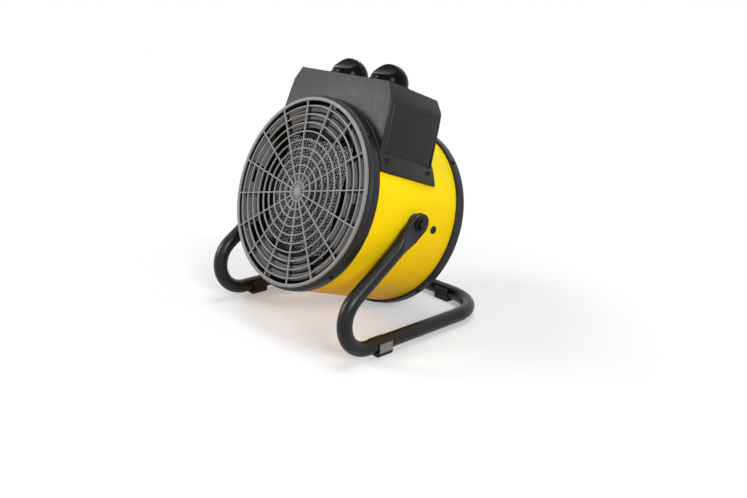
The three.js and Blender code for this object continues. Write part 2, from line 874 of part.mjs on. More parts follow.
function fan() {

	const hubBore = shaftRadius + clearance;
	const boreFloor = fanSetback + fanHubWall;
	const parts = [ solid( turned( [
		[ 0, fanSetback ], [ fanHubRadius - fanHubRounding, fanSetback ],
		[ fanHubRadius, fanSetback + fanHubRounding ], [ fanHubRadius, fanHubRear ],
		[ hubBore, fanHubRear ], [ hubBore, boreFloor ], [ 0, boreFloor ]
	], middleSides ) ) ];
	const middle = fanSetback + fanHubDepth / 2;
	const root = fanHubRadius - bladeSink;
	const sweep = [
		[ 0.21, 0.45 ], [ 0.32, 0.75 ], [ 0.29, 0.95 ], [ 0.02, 1 ], [ - 0.13, 0.93 ], [ - 0.15, 0.6 ]
	];
	const blade = outlineOf( [
		[ - bladeRootHalfWidth, root ], [ bladeRootHalfWidth, root ],
		...sweep.map( ( [ x, z ] ) => [ x * fanRadius, z * fanRadius ] )
	] );
	for ( let i = 0; i < bladeCount; i ++ ) {

		const flat = slab( blade, - bladeWall / 2, bladeWall / 2 ).rotateZ( bladePitch );
		parts.push( solid( flat.translate( 0, middle, 0 ).rotateY( i * 2 * Math.PI / bladeCount ) ) );

	}

	return piece( 'fan', toGeometry( join( parts ) ), finish.fanPlastic );

}

function motorShaft() {

	const front = fanSetback + fanHubWall + clearance;
	const rod = disc( shaftRadius, front, motorBossFront + shaftInMotor, coarseSides );
	return piece( 'motor_shaft', rod, finish.zinc );

}

function motor() {

	const bore = shaftRadius + clearance;
	const bottom = motorBossFront + shaftInMotor + clearance;
	const can = turned( [
		[ 0, bottom ], [ bore, bottom ], [ bore, motorBossFront ], [ motorBossRadius, motorBossFront ],
		[ motorBossRadius, motorFront ], [ motorRadius - edgeBreak, motorFront ],
		[ motorRadius, motorFront + edgeBreak ],
		[ motorRadius, motorRear ], [ 0, motorRear ]
	], middleSides );
	return piece( 'motor', can, finish.galvanised );

}

// A flat strap across the drum behind the motor, its ends bent rearwards along the shell.
function motorStrap() {

	const halfWidth = strapWidth / 2;
	const reach = Math.sqrt( shellInnerRadius ** 2 - halfWidth ** 2 ) - clearance;
	const bar = solid( block( - reach, reach, strapFront, strapFront + strapWall, - halfWidth, halfWidth ) );
	const tabs = sides.map( ( [ , side ] ) => {

		const [ x0, x1 ] = [ side * reach, side * ( reach - strapWall ) ].sort( ( a, b ) => a - b );
		return solid( block( x0, x1, strapFront, strapFront + strapTabLength, - halfWidth, halfWidth ) );

	} );
	const holes = sides.map( ( [ , side ] ) => screwHole( side * Math.PI / 2, strapScrewDepth ) );
	return piece( 'motor_strap', toGeometry( cut( join( [ bar, ...tabs ] ), holes ) ), finish.galvanised );

}

// ---------------------------------------------------------------- control box

// The box seen from the front, shrunk by a wall where it is the hollow.
function boxFace( wall ) {

	const right = [
		[ boxFootHalfWidth - wall, boxFootHeight ],
		[ shellRadius - boxWaistInset - wall, shellRadius + boxWaistRise ],
		[ shellRadius - boxShoulderInset - wall, shellRadius + boxShoulderRise - wall / 2 ],
		[ boxTopHalfWidth - wall, boxTop - wall ]
	];
	const left = right.map( ( [ x, z ] ) => [ - x, z ] ).reverse();
	return slab( outlineOf( [ ...right, ...left ] ), boxFront + wall, boxRear - wall );

}

// The box seen from the side, shrunk by a wall where it is the hollow.
function boxProfile( wall ) {

	const low = boxFootHeight - overcut;
	const top = boxTop - wall;
	const front = boxFront + wall;
	const rear = boxRear - wall;
	const outline = new THREE.Shape( [
		[ front, low ], [ rear, low ], [ rear, top - boxRearChamferDrop ], [ rear - boxRearChamfer, top ],
		[ front + boxFrontChamfer, top ], [ front, top - boxFrontChamfer ]
	].map( ( [ y, z ] ) => new THREE.Vector2( y, z ) ) );
	const across = 2 * ( boxFootHalfWidth + overcut );
	const geometry = new THREE.ExtrudeGeometry( outline, { depth: across, bevelEnabled: false } );
	return geometry.translate( 0, 0, - across / 2 ).rotateY( Math.PI / 2 ).rotateX( Math.PI / 2 );

}

function boxBody( wall ) {

	return solid( boxFace( wall ) ).intersect( solid( boxProfile( wall ) ) );

}

function saddleWedge() {

	const reach = 2 * rearRingRadius;
	return slab( outlineOf( [
		[ 0, 0 ], [ reach * Math.sin( saddleHalfAngle ), reach * Math.cos( saddleHalfAngle ) ],
		[ reach * Math.sin( saddleHalfAngle ), reach ], [ - reach * Math.sin( saddleHalfAngle ), reach ],
		[ - reach * Math.sin( saddleHalfAngle ), reach * Math.cos( saddleHalfAngle ) ]
	] ), saddleFront - overcut, saddleRear + overcut );

}

function controlBox() {

	const drumSpace = solid( disc( seatRadius, 0, drumLength ) );
	const hollow = boxBody( boxWall );
	const band = solid( ring( seatRadius, seatRadius + saddleWall, saddleFront, saddleRear ) );
	const saddle = band.intersect( solid( saddleWedge() ) );
	const outer = boxBody( 0 ).subtract( drumSpace ).add( saddle );
	const holes = [];
	const drilled = [ boxCeiling - overcut, boxTop + overcut ];
	for ( const [ , side ] of sides ) {

		const stemHole = disc( knobStemRadius + 2 * clearance, ...drilled, coarseSides );
		holes.push( solid( upright( stemHole, side * knobSpread, knobDepth, 0 ) ) );
		holes.push( screwHole( side * saddleScrewAngle, saddleFront + saddleScrewInset ) );
		holes.push( screwHole( side * saddleScrewAngle, saddleRear - saddleScrewInset ) );
		const lidHole = disc( screwRadius + clearance, ...drilled, screwSides );
		const lidX = side * ( boxTopHalfWidth - lidScrewInset );
		holes.push( solid( upright( lidHole, lidX, boxRear - lidScrewInset, 0 ) ) );

	}

	const wallFront = boxRear - boxWall - overcut;
	const entry = disc( glandThreadRadius + clearance, wallFront, boxRear + overcut, coarseSides );
	holes.push( solid( entry.translate( glandPlace, 0, glandLift ) ) );
	const shape = cut( outer, [ hollow, ...holes ] );
	return piece( 'control_box', toGeometry( shape ), finish.blackPlastic );

}

function saddleScrews() {

	const seat = seatRadius + saddleWall + clearance;
	return sides.flatMap( ( [ hand, side ] ) => [
		[ 'front', saddleFront + saddleScrewInset ], [ 'rear', saddleRear - saddleScrewInset ]
	].map( ( [ end, depth ] ) => piece(
		`box_screw_${ end }_${ hand }`, radial( screw(), side * saddleScrewAngle, seat, depth ), finish.darkSteel
	) ) );

}

function lidScrews() {

	const across = boxTopHalfWidth - lidScrewInset;
	return sides.map( ( [ hand, side ] ) => piece(
		`lid_screw_${ hand }`,
		upright( screw(), side * across, boxRear - lidScrewInset, boxTop + clearance ),
		finish.darkSteel
	) );

}

function strapScrews() {

	return sides.map( ( [ hand, side ] ) => piece(
		`strap_screw_${ hand }`,
		radial( screw(), side * Math.PI / 2, seatRadius, strapScrewDepth ),
		finish.darkSteel
	) );

}

// ---------------------------------------------------------------- knobs and what they turn

// A domed knob, scooped front and rear to leave a grip across it.
function knob( name, side ) {

	const dome = [];
	const domeSteps = 5;
	for ( let i = 0; i < domeSteps; i ++ ) {

		const angle = i / domeSteps * Math.PI / 2;
		const lift = ( knobHeight - knobBaseHeight ) * Math.sin( angle );
		dome.push( [ knobRadius * Math.cos( angle ), knobBaseHeight + lift ] );

	}

	const body = solid( turned( [
		[ 0, 0 ], [ knobBaseRadius, 0 ], [ knobBaseRadius, knobBaseHeight - edgeBreak ],
		[ knobBaseRadius - edgeBreak, knobBaseHeight ], ...dome, [ 0, knobHeight ]
	], middleSides ) );
	const scoops = [ 1, - 1 ].map( ( end ) => {

		const scoop = disc( knobScoopRadius, - knobBaseRadius, knobBaseRadius, middleSides );
		const offset = end * ( knobGripWidth / 2 + knobScoopRadius );
		return solid( scoop.rotateZ( Math.PI / 2 ).translate( 0, knobScoopFloor + knobScoopRadius, offset ) );

	} );
	const socket = disc( knobStemRadius + clearance, - overcut, knobStemInKnob + clearance, coarseSides );
	const shape = toGeometry( cut( body, [ ...scoops, solid( socket ) ] ) );
	const placed = upright( shape, side * knobSpread, knobDepth, boxTop + clearance );
	return piece( name, placed, finish.knobPlastic );

}

function stem( name, side ) {

	const bottom = boxCeiling - clearance - knobStemInBody;
	const length = boxTop + clearance + knobStemInKnob - bottom;
	const rod = disc( knobStemRadius, 0, length, coarseSides );
	return piece( name, upright( rod, side * knobSpread, knobDepth, bottom ), finish.zinc );

}

// The well that a stem turns in, to be cut from the body below it.
function stemWell( side ) {

	const bottom = boxCeiling - knobStemInBody - 2 * clearance;
	const well = disc( knobStemRadius + clearance, 0, boxTop - bottom, coarseSides );
	return solid( upright( well, side * knobSpread, knobDepth, bottom ) );

}

function selectorSwitch() {

	const top = boxCeiling - clearance;
	const half = switchSize / 2;
	const body = solid( block(
		- knobSpread - half, - knobSpread + half, knobDepth - half, knobDepth + half, top - switchHeight, top
	) );
	return piece( 'selector_switch', toGeometry( body.subtract( stemWell( - 1 ) ) ), finish.palePlastic );

}

function thermostat() {

	const top = boxCeiling - clearance;
	const can = disc( thermostatRadius, 0, thermostatHeight, middleSides );
	const body = solid( upright( can, knobSpread, knobDepth, top - thermostatHeight ) );
	return piece( 'thermostat', toGeometry( body.subtract( stemWell( 1 ) ) ), finish.zinc );

}

function terminalBlock() {

	const rear = boxRear - boxWall - clearance;
	const end = - terminalShift - terminalLength / 2;
	const bottom = terminalLift - terminalHeight / 2;
	const body = solid( block(
		end, end + terminalLength, rear - terminalDepth, rear, bottom, bottom + terminalHeight
	) );
	const wells = [];
	for ( let i = 0; i < terminalPoles; i ++ ) {

		const x = end + ( i + 0.5 ) * terminalLength / terminalPoles;
		const well = disc( terminalWellRadius, 0, terminalHeight / 2 + overcut, screwSides );
		wells.push( solid( upright( well, x, rear - terminalDepth / 2, terminalLift ) ) );

	}

	return piece( 'terminal_block', toGeometry( cut( body, wells ) ), finish.palePlastic );

}

function cableGland() {

	const front = boxRear - boxWall - glandInside;
	const seat = boxRear + clearance;
	const flange = seat + glandFlangeHeight;
	const mouth = flange + glandDomeHeight;
	const gland = turned( [
		[ glandBoreRadius, front ], [ glandThreadRadius, front ], [ glandThreadRadius, seat ],
		[ glandFlangeRadius, seat ], [ glandFlangeRadius, flange ], [ glandDomeRadius, flange ],
		[ glandDomeRadius, ( flange + mouth ) / 2 ], [ glandBoreRadius + glandMouthWall, mouth ],
		[ glandBoreRadius, mouth ], [ glandBoreRadius, front ]
	], coarseSides );
	const nutRear = boxRear - boxWall - clearance;
	const nutFront = nutRear - glandNutHeight;
	const hexagon = solid( disc( glandFlangeRadius, nutFront, nutRear, hexSides ) );
	const nutBore = disc( glandThreadRadius + clearance, nutFront - overcut, nutRear + overcut, coarseSides );
	const nut = toGeometry( hexagon.subtract( solid( nutBore ) ) );
	return [
		piece( 'cable_gland', gland.translate( glandPlace, 0, glandLift ), finish.blackPlastic ),
		piece( 'gland_nut', nut.translate( glandPlace, 0, glandLift ), finish.zinc )
	];

}

// ---------------------------------------------------------------- assembly

const heater = new THREE.Group();
heater.add( standTube(), ...feet() );

const housing = new THREE.Group();
housing.position.set( 0, pivotY, pivotHeight );
housing.rotation.x = - tilt;
heater.add( housing );

const drum = new THREE.Group();
drum.position.set( 0, - pivotDepth, - pivotLift );
housing.add( drum );

drum.add( drumShell(), frontRing(), rearRing(), frontGrille(), guidePlate(), rearGuard() );
drum.add( heaterCore(), endCap( 'end_cap_top', 1 ), endCap( 'end_cap_bottom', - 1 ) );
drum.add( bafflePlate(), thermalCutOut() );
drum.add( fan(), motorShaft(), motor(), motorStrap() );
drum.add( controlBox(), selectorSwitch(), thermostat(), terminalBlock(), ...cableGland() );
drum.add( knob( 'selector_knob', - 1 ), knob( 'thermostat_knob', 1 ) );
drum.add( stem( 'selector_stem', - 1 ), stem( 'thermostat_stem', 1 ) );
for ( const [ hand, side ] of sides ) drum.add( ...pivotHardware( hand, side ) );
drum.add( ...ringScrews( 'front', frontRingRadius, frontScrewDepth ) );
drum.add( ...ringScrews( 'rear', rearRingRadius, rearScrewDepth ) );
drum.add( ...saddleScrews(), ...lidScrews(), ...strapScrews() );

export default heater;
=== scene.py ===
"""Looks of a round forced air heater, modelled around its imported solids.

Lengths are in metres. Pieces of the drum are drawn in the drum's own axes: X across, Y rearwards
from the front face, Z up. Angles round the drum start at the top and run towards +X. The stand is
drawn in the frame's axes.
"""

import json
import math

import bmesh
import bpy
from mathutils import Matrix, Vector, noise


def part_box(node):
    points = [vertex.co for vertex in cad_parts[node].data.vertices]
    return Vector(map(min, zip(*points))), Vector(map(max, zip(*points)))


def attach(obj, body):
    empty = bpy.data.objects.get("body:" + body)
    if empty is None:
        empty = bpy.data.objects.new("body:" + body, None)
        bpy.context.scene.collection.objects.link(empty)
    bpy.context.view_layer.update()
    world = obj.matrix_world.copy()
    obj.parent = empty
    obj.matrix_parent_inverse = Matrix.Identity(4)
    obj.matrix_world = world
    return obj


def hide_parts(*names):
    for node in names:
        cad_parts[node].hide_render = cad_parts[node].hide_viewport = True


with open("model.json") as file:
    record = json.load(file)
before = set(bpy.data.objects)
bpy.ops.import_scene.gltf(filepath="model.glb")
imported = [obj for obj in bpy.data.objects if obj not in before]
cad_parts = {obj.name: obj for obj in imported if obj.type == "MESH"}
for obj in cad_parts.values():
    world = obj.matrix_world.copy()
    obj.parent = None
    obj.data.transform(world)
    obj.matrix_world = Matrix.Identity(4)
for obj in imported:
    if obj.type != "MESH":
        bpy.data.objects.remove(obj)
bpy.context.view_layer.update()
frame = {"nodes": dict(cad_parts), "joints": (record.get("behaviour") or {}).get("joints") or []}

bl_info = {
    "name": "Forced air heater",
    "version": (1, 0, 0),
    "blender": (4, 5, 0),
    "location": "View3D > Sidebar > Heater",
    "description": "Models and finishes the pieces of a round fan heater with a tube stand",
    "category": "Object",
}

MM = 0.001
FULL_TURN = 2 * math.pi
QUARTER_TURN = math.pi / 2
FINE_STEPS = 160  # facets round the drum
MIDDLE_STEPS = 64
FEWER_STEPS = 48
SMALL_STEPS = 24
SHARP_ANGLE = math.radians(32)
SAME_PLACE = 1e-6
OVERLAP = 0.1 * MM  # how far joined solids run into each other
CLEARANCE = 0.3 * MM  # between parts that sit or turn in each other
SIDES = (("right", 1), ("left", -1))


# ---------------------------------------------------------------- the frame's places

joints = {joint["name"]: joint for joint in frame["joints"]}
pivot = Vector(joints["housing_tilt"]["pos_m"])
drum_axis = Vector(joints["fan_spin"]["axis"])
tilt = math.atan2(-drum_axis.z, drum_axis.y)


def drum_place():
    """The matrix that takes the drum's axes to the frame's."""
    turn = Matrix.Rotation(-tilt, 4, "X")
    on_axis = Vector(joints["fan_spin"]["pos_m"])
    depths = [turn.inverted() @ (v.co - on_axis) for v in frame["nodes"]["front_grille"].data.vertices]
    front = on_axis + drum_axis * min(point.y for point in depths)
    return Matrix.Translation(front) @ turn


DRUM = drum_place()


def span(node):
    """Lowest and highest corner of a CAD node in the drum's axes."""
    back = DRUM.inverted()
    points = [back @ v.co for v in frame["nodes"][node].data.vertices]
    return Vector(map(min, zip(*points))), Vector(map(max, zip(*points)))


# ---------------------------------------------------------------- sizes and colours


def size(name, description, millimetres):
    return bpy.props.FloatProperty(
        name=name, description=description, default=millimetres * MM, min=0, unit="LENGTH", precision=5
    )


def angle(name, description, degrees):
    return bpy.props.FloatProperty(
        name=name, description=description, default=math.radians(degrees), subtype="ANGLE"
    )


def count(name, description, default):
    return bpy.props.IntProperty(name=name, description=description, default=default, min=1)


def tint(name, description, colour):
    return bpy.props.FloatVectorProperty(
        name=name, description=description, default=colour, size=3, min=0, max=1, subtype="COLOR"
    )


def power(name, description, watts):
    return bpy.props.FloatProperty(name=name, description=description, default=watts, min=0, unit="POWER")


def share(name, description, default):
    return bpy.props.FloatProperty(
        name=name, description=description, default=default, min=0, max=1, subtype="FACTOR"
    )


class HeaterDrumSizes(bpy.types.PropertyGroup):
    shell_wall: size("Shell wall", "Thickness of the drum's sheet steel", 1.2)
    ring_wall: size("Ring wall", "Thickness of the front ring's skirt", 1.7)
    ring_slope: size("Ring slope", "Length of the front ring's sloping edge", 3)
    ring_slope_width: size("Ring slope width", "How far the slope runs in over the ring's face", 3.5)
    lip_wall: size("Lip wall", "Thickness of the front ring's inner lip", 2.2)
    lip_width: size("Lip width", "Width of the front ring's inner lip", 7.5)
    rear_lip_wall: size("Rear lip wall", "Thickness of the rear ring's lip", 5)
    rear_lip_width: size("Rear lip width", "Width of the rear ring's lip", 12.2)
    rear_rounding: size("Rear rounding", "Radius of the rear ring's outer edge", 2)
    edge_rounding: size("Edge rounding", "Radius of the rings' small edges", 0.7)


class HeaterGrilleSizes(bpy.types.PropertyGroup):
    bar_width: size("Bar width", "Width of the front grille's rings and spokes", 2)
    bar_draft: size("Bar draft", "How much narrower a bar is behind than in front", 1)
    bar_depth: size("Bar depth", "Thickness of the front grille's rings and spokes", 2)
    bar_rounding: size("Bar rounding", "Radius of the bars' front edges", 0.6)
    flange_width: size("Flange width", "Width of the front grille's outer ring", 3.7)
    flange_seat: size("Flange seat", "Width of the flange where it sits on the front ring", 2)
    flange_edge: size("Flange edge", "Thickness of the flange at its inner edge", 1.2)
    hub_radius: size("Hub radius", "Radius of the disc in the middle", 4.8)
    inner_ring: size("Inner ring", "Radius of the innermost ring", 10.9)
    outer_gap: size("Outer gap", "Gap between the outermost ring and the flange", 6.3)
    rings: count("Rings", "Rings between the hub and the flange", 10)
    spokes: count("Spokes", "Spokes of the front grille", 16)
    turn: angle("Turn", "Angle of the first spoke from the top", 9.5)
    guard_bar: size("Guard bar", "Width of the rear guard's bars", 2.4)
    guard_rim: size("Guard rim", "Width of the rear guard's rim", 4.8)
    guard_hub: size("Guard hub", "Radius of the rear guard's middle disc", 16)
    guard_rings: count("Guard rings", "Rings of the rear guard", 5)
    guard_spokes: count("Guard spokes", "Spokes of the rear guard", 8)


class HeaterGuideSizes(bpy.types.PropertyGroup):
    gap: size("Gap", "Gap between the grille's bars and the ribs", 1.5)
    lip_gap: size("Lip gap", "Gap between the plate and the front ring's lip", 3)
    width: size("Width", "Width of the plate from its inner to its outer edge", 28)
    backing: size("Backing", "Thickness of the plate behind its ribs", 0.9)
    ribs: count("Ribs", "Raised ribs side by side between two spokes", 3)
    rib_gap: size("Rib gap", "Gap between two ribs", 1.7)
    rib_rounding: size("Rib rounding", "Radius of the ribs' edges", 0.4)
    groove: size("Groove", "Depth of the groove along a rib", 0.4)
    slit: angle("Slit", "Angle left free at a spoke", 2.6)
    rim: size("Rim", "Width of the flat rim left outside a window", 9.3)
    window_angle: angle("Window angle", "Angle of the windows from the vertical", 43.5)
    window_span: angle("Window span", "Angle that a window takes up", 22)
    slot_height: size("Slot height", "Height of the slot at either side", 13)
    tab_width: size("Tab width", "Width of the tabs that hold the plate", 7)
    peg_radius: size("Peg radius", "Radius of the small pegs beside the spokes", 1.5)
    peg_turn: angle("Peg turn", "Angle from a spoke to its pegs", 2)
    peg_rise: size("Peg rise", "How far the pegs stand out in front of the ribs", 1.6)
    tab_rise: size("Tab rise", "How far the tabs stand out in front of the plate", 0.4)


class HeaterElementSizes(bpy.types.PropertyGroup):
    strips: count("Strips", "Columns of fins side by side", 18)
    fold_pitch: size("Fold pitch", "Height of one fold of the fins", 3.7)
    fin_wall: size("Fin wall", "Thickness of the folded sheet", 0.45)
    bar_wall: size("Bar wall", "Thickness of the bars between the columns", 0.6)
    fin_setback: size("Fin setback", "Fins behind the bars' front edges", 0.6)
    cap_rounding: size("Cap rounding", "Radius of the end caps' edges", 1.2)


class HeaterFanSizes(bpy.types.PropertyGroup):
    hub_radius: size("Hub radius", "Radius of the fan's hub", 23)
    hub_wall: size("Hub wall", "Thickness of the hub's skirt", 2.5)
    hub_face: size("Hub face", "Thickness of the hub's front", 5)
    hub_rounding: size("Hub rounding", "Radius of the hub's front edge", 4)
    blades: count("Blades", "Blades of the fan", 5)
    blade_wall: size("Blade wall", "Thickness of a blade", 1.6)
    camber: size("Camber", "Depth of a blade's hollow", 3)
    motor_rounding: size("Motor rounding", "Radius of the motor's edges", 2.5)
    vent_count: count("Motor vents", "Slots in the motor's rear face", 8)
    strap_wall: size("Strap wall", "Thickness of the strap that holds the motor", 2)
    strap_bend: size("Strap bend", "Outer radius of the strap's bends", 3)


class HeaterBoxSizes(bpy.types.PropertyGroup):
    wall: size("Wall", "Thickness of the control box", 2.5)
    top_inset: size("Top inset", "Half-width at the top, short of the shell's radius", 34)
    shoulder_rise: size("Shoulder rise", "Height of the shoulder above the shell", 17)
    shoulder_inset: size("Shoulder inset", "Half-width at the shoulder, short of the shell's radius", 25.5)
    waist_rise: size("Waist rise", "Height of the waist above the shell", 3)
    waist_inset: size("Waist inset", "Half-width at the waist, short of the shell's radius", 23.3)
    foot_drop: size("Foot drop", "Foot of the side walls below the shell's top", 55)
    foot_inset: size("Foot inset", "Half-width at the foot, short of the shell's radius", 17.5)
    front_margin: size("Front margin", "Saddle in front of the box", 2.4)
    rear_margin: size("Rear margin", "Saddle behind the box", 3.5)
    rear_chamfer: size("Rear chamfer", "How far the rear chamfer comes forwards", 4)
    rear_chamfer_drop: size("Rear chamfer drop", "How far the rear chamfer comes down", 11)
    corner_rounding: size("Corner rounding", "Radius of the upright front edges", 4.5)
    edge_rounding: size("Edge rounding", "Radius of the other edges", 1.3)
    panel_margin: size("Panel margin", "From a side panel's groove to the edge of the box", 5)
    groove_width: size("Groove width", "Width of the groove round a side panel", 1.6)
    groove_depth: size("Groove depth", "Depth of the groove round a side panel", 0.6)
    saddle_wall: size("Saddle wall", "Thickness of the saddle over the drum", 2.6)
    saddle_angle: angle("Saddle angle", "How far the saddle reaches from the top", 65)


class HeaterKnobSizes(bpy.types.PropertyGroup):
    dome_radius: size("Dome radius", "Radius of the dome above its base ring", 22.2)
    base_height: size("Base height", "Height of the base ring", 4)
    grip_width: size("Grip width", "Width of the grip between the scoops", 13)
    scoop_radius: size("Scoop radius", "Radius of the two scoops", 20)
    scoop_floor: size("Scoop floor", "Lowest point of a scoop", 8)
    softness: size("Softness", "Rounding where a scoop meets the dome", 1.1)
    pointer_width: size("Pointer width", "Width of the pale line on the grip", 1.6)


class HeaterStandSizes(bpy.types.PropertyGroup):
    tube_radius: size("Tube radius", "Outer radius of the stand's tube", 8.5)
    front_bend: size("Front bend", "Radius of the bend at the front, along the tube's middle", 34.5)
    rear_corner: size("Rear corner", "Radius of the rear corners, along the tube's middle", 49.5)
    eye_half_width: size("Eye half-width", "Half-width of the flattened tube end", 12.8)
    eye_thickness: size("Eye thickness", "Thickness of the flattened tube end", 6)
    eye_taper: size("Eye taper", "Length over which the flattened end becomes round", 28)
    foot_wall: size("Foot wall", "Rubber beside the tube", 1.2)
    pad_rise: size("Pad rise", "How far the pale pad stands out of a front foot", 0.25)
    foot_ear: size("Foot ear", "Top of a foot's ears above the tube's middle", 5)
    foot_rounding: size("Foot rounding", "Height of the round corner beside the sole", 5)
    sole_width: size("Sole width", "Width of a foot's flat sole", 11)
    foot_edge: size("Foot edge", "Radius of a foot's edges", 0.7)
    fit: size("Fit", "Gap between a foot and the tube", 0.3)


class HeaterScrewSizes(bpy.types.PropertyGroup):
    shank_radius: size("Shank radius", "Radius of the screws", 1.6)
    length: size("Length", "Length of the screws under the head", 5)
    head_radius: size("Head radius", "Radius of the screws' heads", 2.9)
    head_height: size("Head height", "Height of the screws' heads", 1.4)
    recess_width: size("Recess width", "Width of the cross in a head", 0.9)
    recess_depth: size("Recess depth", "Depth of the cross in a head", 0.8)


class HeaterColours(bpy.types.PropertyGroup):
    drum: tint("Drum", "Powder coat of the drum", (1.0, 0.79, 0.004))
    # Painted shade: near black for the drum's inner faces, the baffle and the guide plate's backing, where
    # shade falls inside the drum.
    inside_shade_tint: tint("Inside shade", "Painted shade inside the drum", (0.006, 0.006, 0.0055))
    stand: tint("Stand", "Powder coat of the stand", (0.002, 0.002, 0.002))
    casing: tint("Casing", "Moulded rings and control box", (0.007, 0.007, 0.007))
    grille: tint("Grille", "Moulded front grille", (0.24, 0.25, 0.26))
    guide: tint("Guide", "Moulded guide plate behind the grille", (0.10, 0.103, 0.107))
    knob: tint("Knob", "Gloss plastic of the knobs", (0.002, 0.002, 0.002))
    rubber: tint("Rubber", "Rubber of the feet", (0.016, 0.016, 0.016))
    # Painted reflection: the pale pad on the front feet's flanks, for the sheen of a flank that reflects
    # the bright floor.
    flank_reflection: tint("Flank reflection", "Painted reflection on the front feet's flanks", (0.2, 0.2, 0.2))
    # The aluminium is set far darker than its own tone: painted shade, for the element deep inside the
    # drum.
    fins: tint("Fins", "Aluminium of the heating element", (0.14, 0.142, 0.145))
    zinc: tint("Zinc", "Zinc-plated steel", (0.55, 0.56, 0.56))
    galvanised: tint("Galvanised", "Galvanised sheet steel", (0.30, 0.31, 0.31))
    # Painted shade: near black for the fins' faces that do not face forwards, the bars between them and the
    # sheet behind them.
    fins_in_shade: tint("Fins in shade", "Painted shade on the fins' faces that do not face forwards", (0.007, 0.007, 0.007))
    dark_steel: tint("Dark steel", "Blackened screws and bolts", (0.03, 0.03, 0.031))
    end_caps: tint("End caps", "Heatproof plastic of the end caps", (0.006, 0.006, 0.006))
    fan: tint("Fan", "Plastic of the fan", (0.018, 0.018, 0.019))
    ivory: tint("Ivory", "Plastic of the switch and the terminals", (0.68, 0.65, 0.56))
    marks: tint("Marks", "Printed marks on the knobs", (0.75, 0.75, 0.72))


class HeaterStageSettings(bpy.types.PropertyGroup):
    floor_colour: tint("Floor", "Colour of the floor as the camera sees it", (0.915, 0.935, 0.955))
    floor_bounce: tint("Floor bounce", "Colour of the light that the floor throws back", (0.55, 0.27, 0.08))
    near_white: share("Near white", "How much of the floor is plain white beside the heater", 0.3)
    white_start: size("White start", "Where the floor begins to turn white, from the middle", 235)
    white_end: size("White end", "Where the floor is white, from the middle", 370)
    key_power: power("Key lamp", "Power of the soft lamp at the front left", 33)
    fill_power: power("Fill lamp", "Power of the soft lamp at the right", 38)
    top_power: power("Top lamp", "Power of the soft lamp overhead", 19)
    sky: share("Sky", "Strength of the even light from all round", 0.26)


class HeaterSettings(bpy.types.PropertyGroup):
    drum: bpy.props.PointerProperty(type=HeaterDrumSizes)
    grille: bpy.props.PointerProperty(type=HeaterGrilleSizes)
    guide: bpy.props.PointerProperty(type=HeaterGuideSizes)
    element: bpy.props.PointerProperty(type=HeaterElementSizes)
    fan: bpy.props.PointerProperty(type=HeaterFanSizes)
    box: bpy.props.PointerProperty(type=HeaterBoxSizes)
    knob: bpy.props.PointerProperty(type=HeaterKnobSizes)
    stand: bpy.props.PointerProperty(type=HeaterStandSizes)
    screw: bpy.props.PointerProperty(type=HeaterScrewSizes)
    colour: bpy.props.PointerProperty(type=HeaterColours)
    stage: bpy.props.PointerProperty(type=HeaterStageSettings)


# ---------------------------------------------------------------- solids


def tidy(bm):
    """Merges what lies in one place and turns the faces outwards."""
    bmesh.ops.remove_doubles(bm, verts=bm.verts, dist=SAME_PLACE)
    bmesh.ops.dissolve_degenerate(bm, edges=bm.edges, dist=SAME_PLACE)
    bmesh.ops.recalc_face_normals(bm, faces=bm.faces)
    return bm


def new_verts(geometry):
    return [element for element in geometry if isinstance(element, bmesh.types.BMVert)]


def fillet(corners, radii, steps=3):
    """A closed outline with its corners rounded, each to its own radius or all to one."""
    outline = []
    for i, corner in enumerate(corners):
        radius = radii[i] if hasattr(radii, "__len__") else radii
        corner = Vector(corner)
        if not radius:
            outline.append(corner)
            continue
        before = (Vector(corners[i - 1]) - corner).normalized()
        after = (Vector(corners[(i + 1) % len(corners)]) - corner).normalized()
        half = before.angle(after) / 2
        reach = radius / math.tan(half)
        middle = corner + (before + after).normalized() * radius / math.sin(half)
        start = (corner + before * reach - middle).normalized()
        end = (corner + after * reach - middle).normalized()
        outline += [middle + radius * start.slerp(end, k / steps) for k in range(steps + 1)]
    return outline


def turned(profile, steps=FINE_STEPS, start=0.0, sweep=FULL_TURN):
    """A profile of (radius, depth) points turned round the drum's axis, as a solid."""
    bm = bmesh.new()
    across, up = math.sin(start), math.cos(start)
    corners = [bm.verts.new((radius * across, depth, radius * up)) for radius, depth in profile]
    whole = sweep == FULL_TURN
    if whole:
        last = [] if profile[0][0] == 0 and profile[-1][0] == 0 else [(corners[-1], corners[0])]
        edges = [bm.edges.new(pair) for pair in [*zip(corners, corners[1:]), *last]]
        geometry = corners + edges
    else:
        geometry = [bm.faces.new(corners)]
    bmesh.ops.spin(
        bm, geom=geometry, cent=(0, 0, 0), axis=(0, 1, 0), angle=sweep, steps=steps, use_merge=whole
    )
    return tidy(bm)


def steps_over(sweep):
    """Facets for a part of the way round the drum."""
    return max(2, round(sweep / FULL_TURN * FINE_STEPS))


def band(radii, depths, start, sweep):
    """A band round part of the drum, between two radii and two depths."""
    (inner, outer), (front, rear) = radii, depths
    corners = [(inner, front), (outer, front), (outer, rear), (inner, rear)]
    return turned(corners, steps_over(sweep), start, sweep)


def prism(corners, travel):
    """A flat face through the corners, carried along a vector, as a solid."""
    bm = bmesh.new()
    face = bm.faces.new([bm.verts.new(corner) for corner in corners])
    moved = bmesh.ops.extrude_face_region(bm, geom=[face])["geom"]
    bmesh.ops.translate(bm, vec=travel, verts=new_verts(moved))
    return tidy(bm)


def block(low, high):
    """A box between two corners."""
    corners = [(low[0], low[1]), (high[0], low[1]), (high[0], high[1]), (low[0], high[1])]
    return prism([(x, y, low[2]) for x, y in corners], (0, 0, high[2] - low[2]))


def rod(radius, low, high, steps, rounding):
    """A round bar along Y with rounded ends."""
    corners = [(0, low), (radius, low), (radius, high), (0, high)]
    return turned(fillet(corners, [0, rounding, rounding, 0]), steps)


def carried(outline, low, high):
    """An outline of (x, z) points carried along Y, as a solid."""
    return prism([(x, low, z) for x, z in outline], (0, high - low, 0))


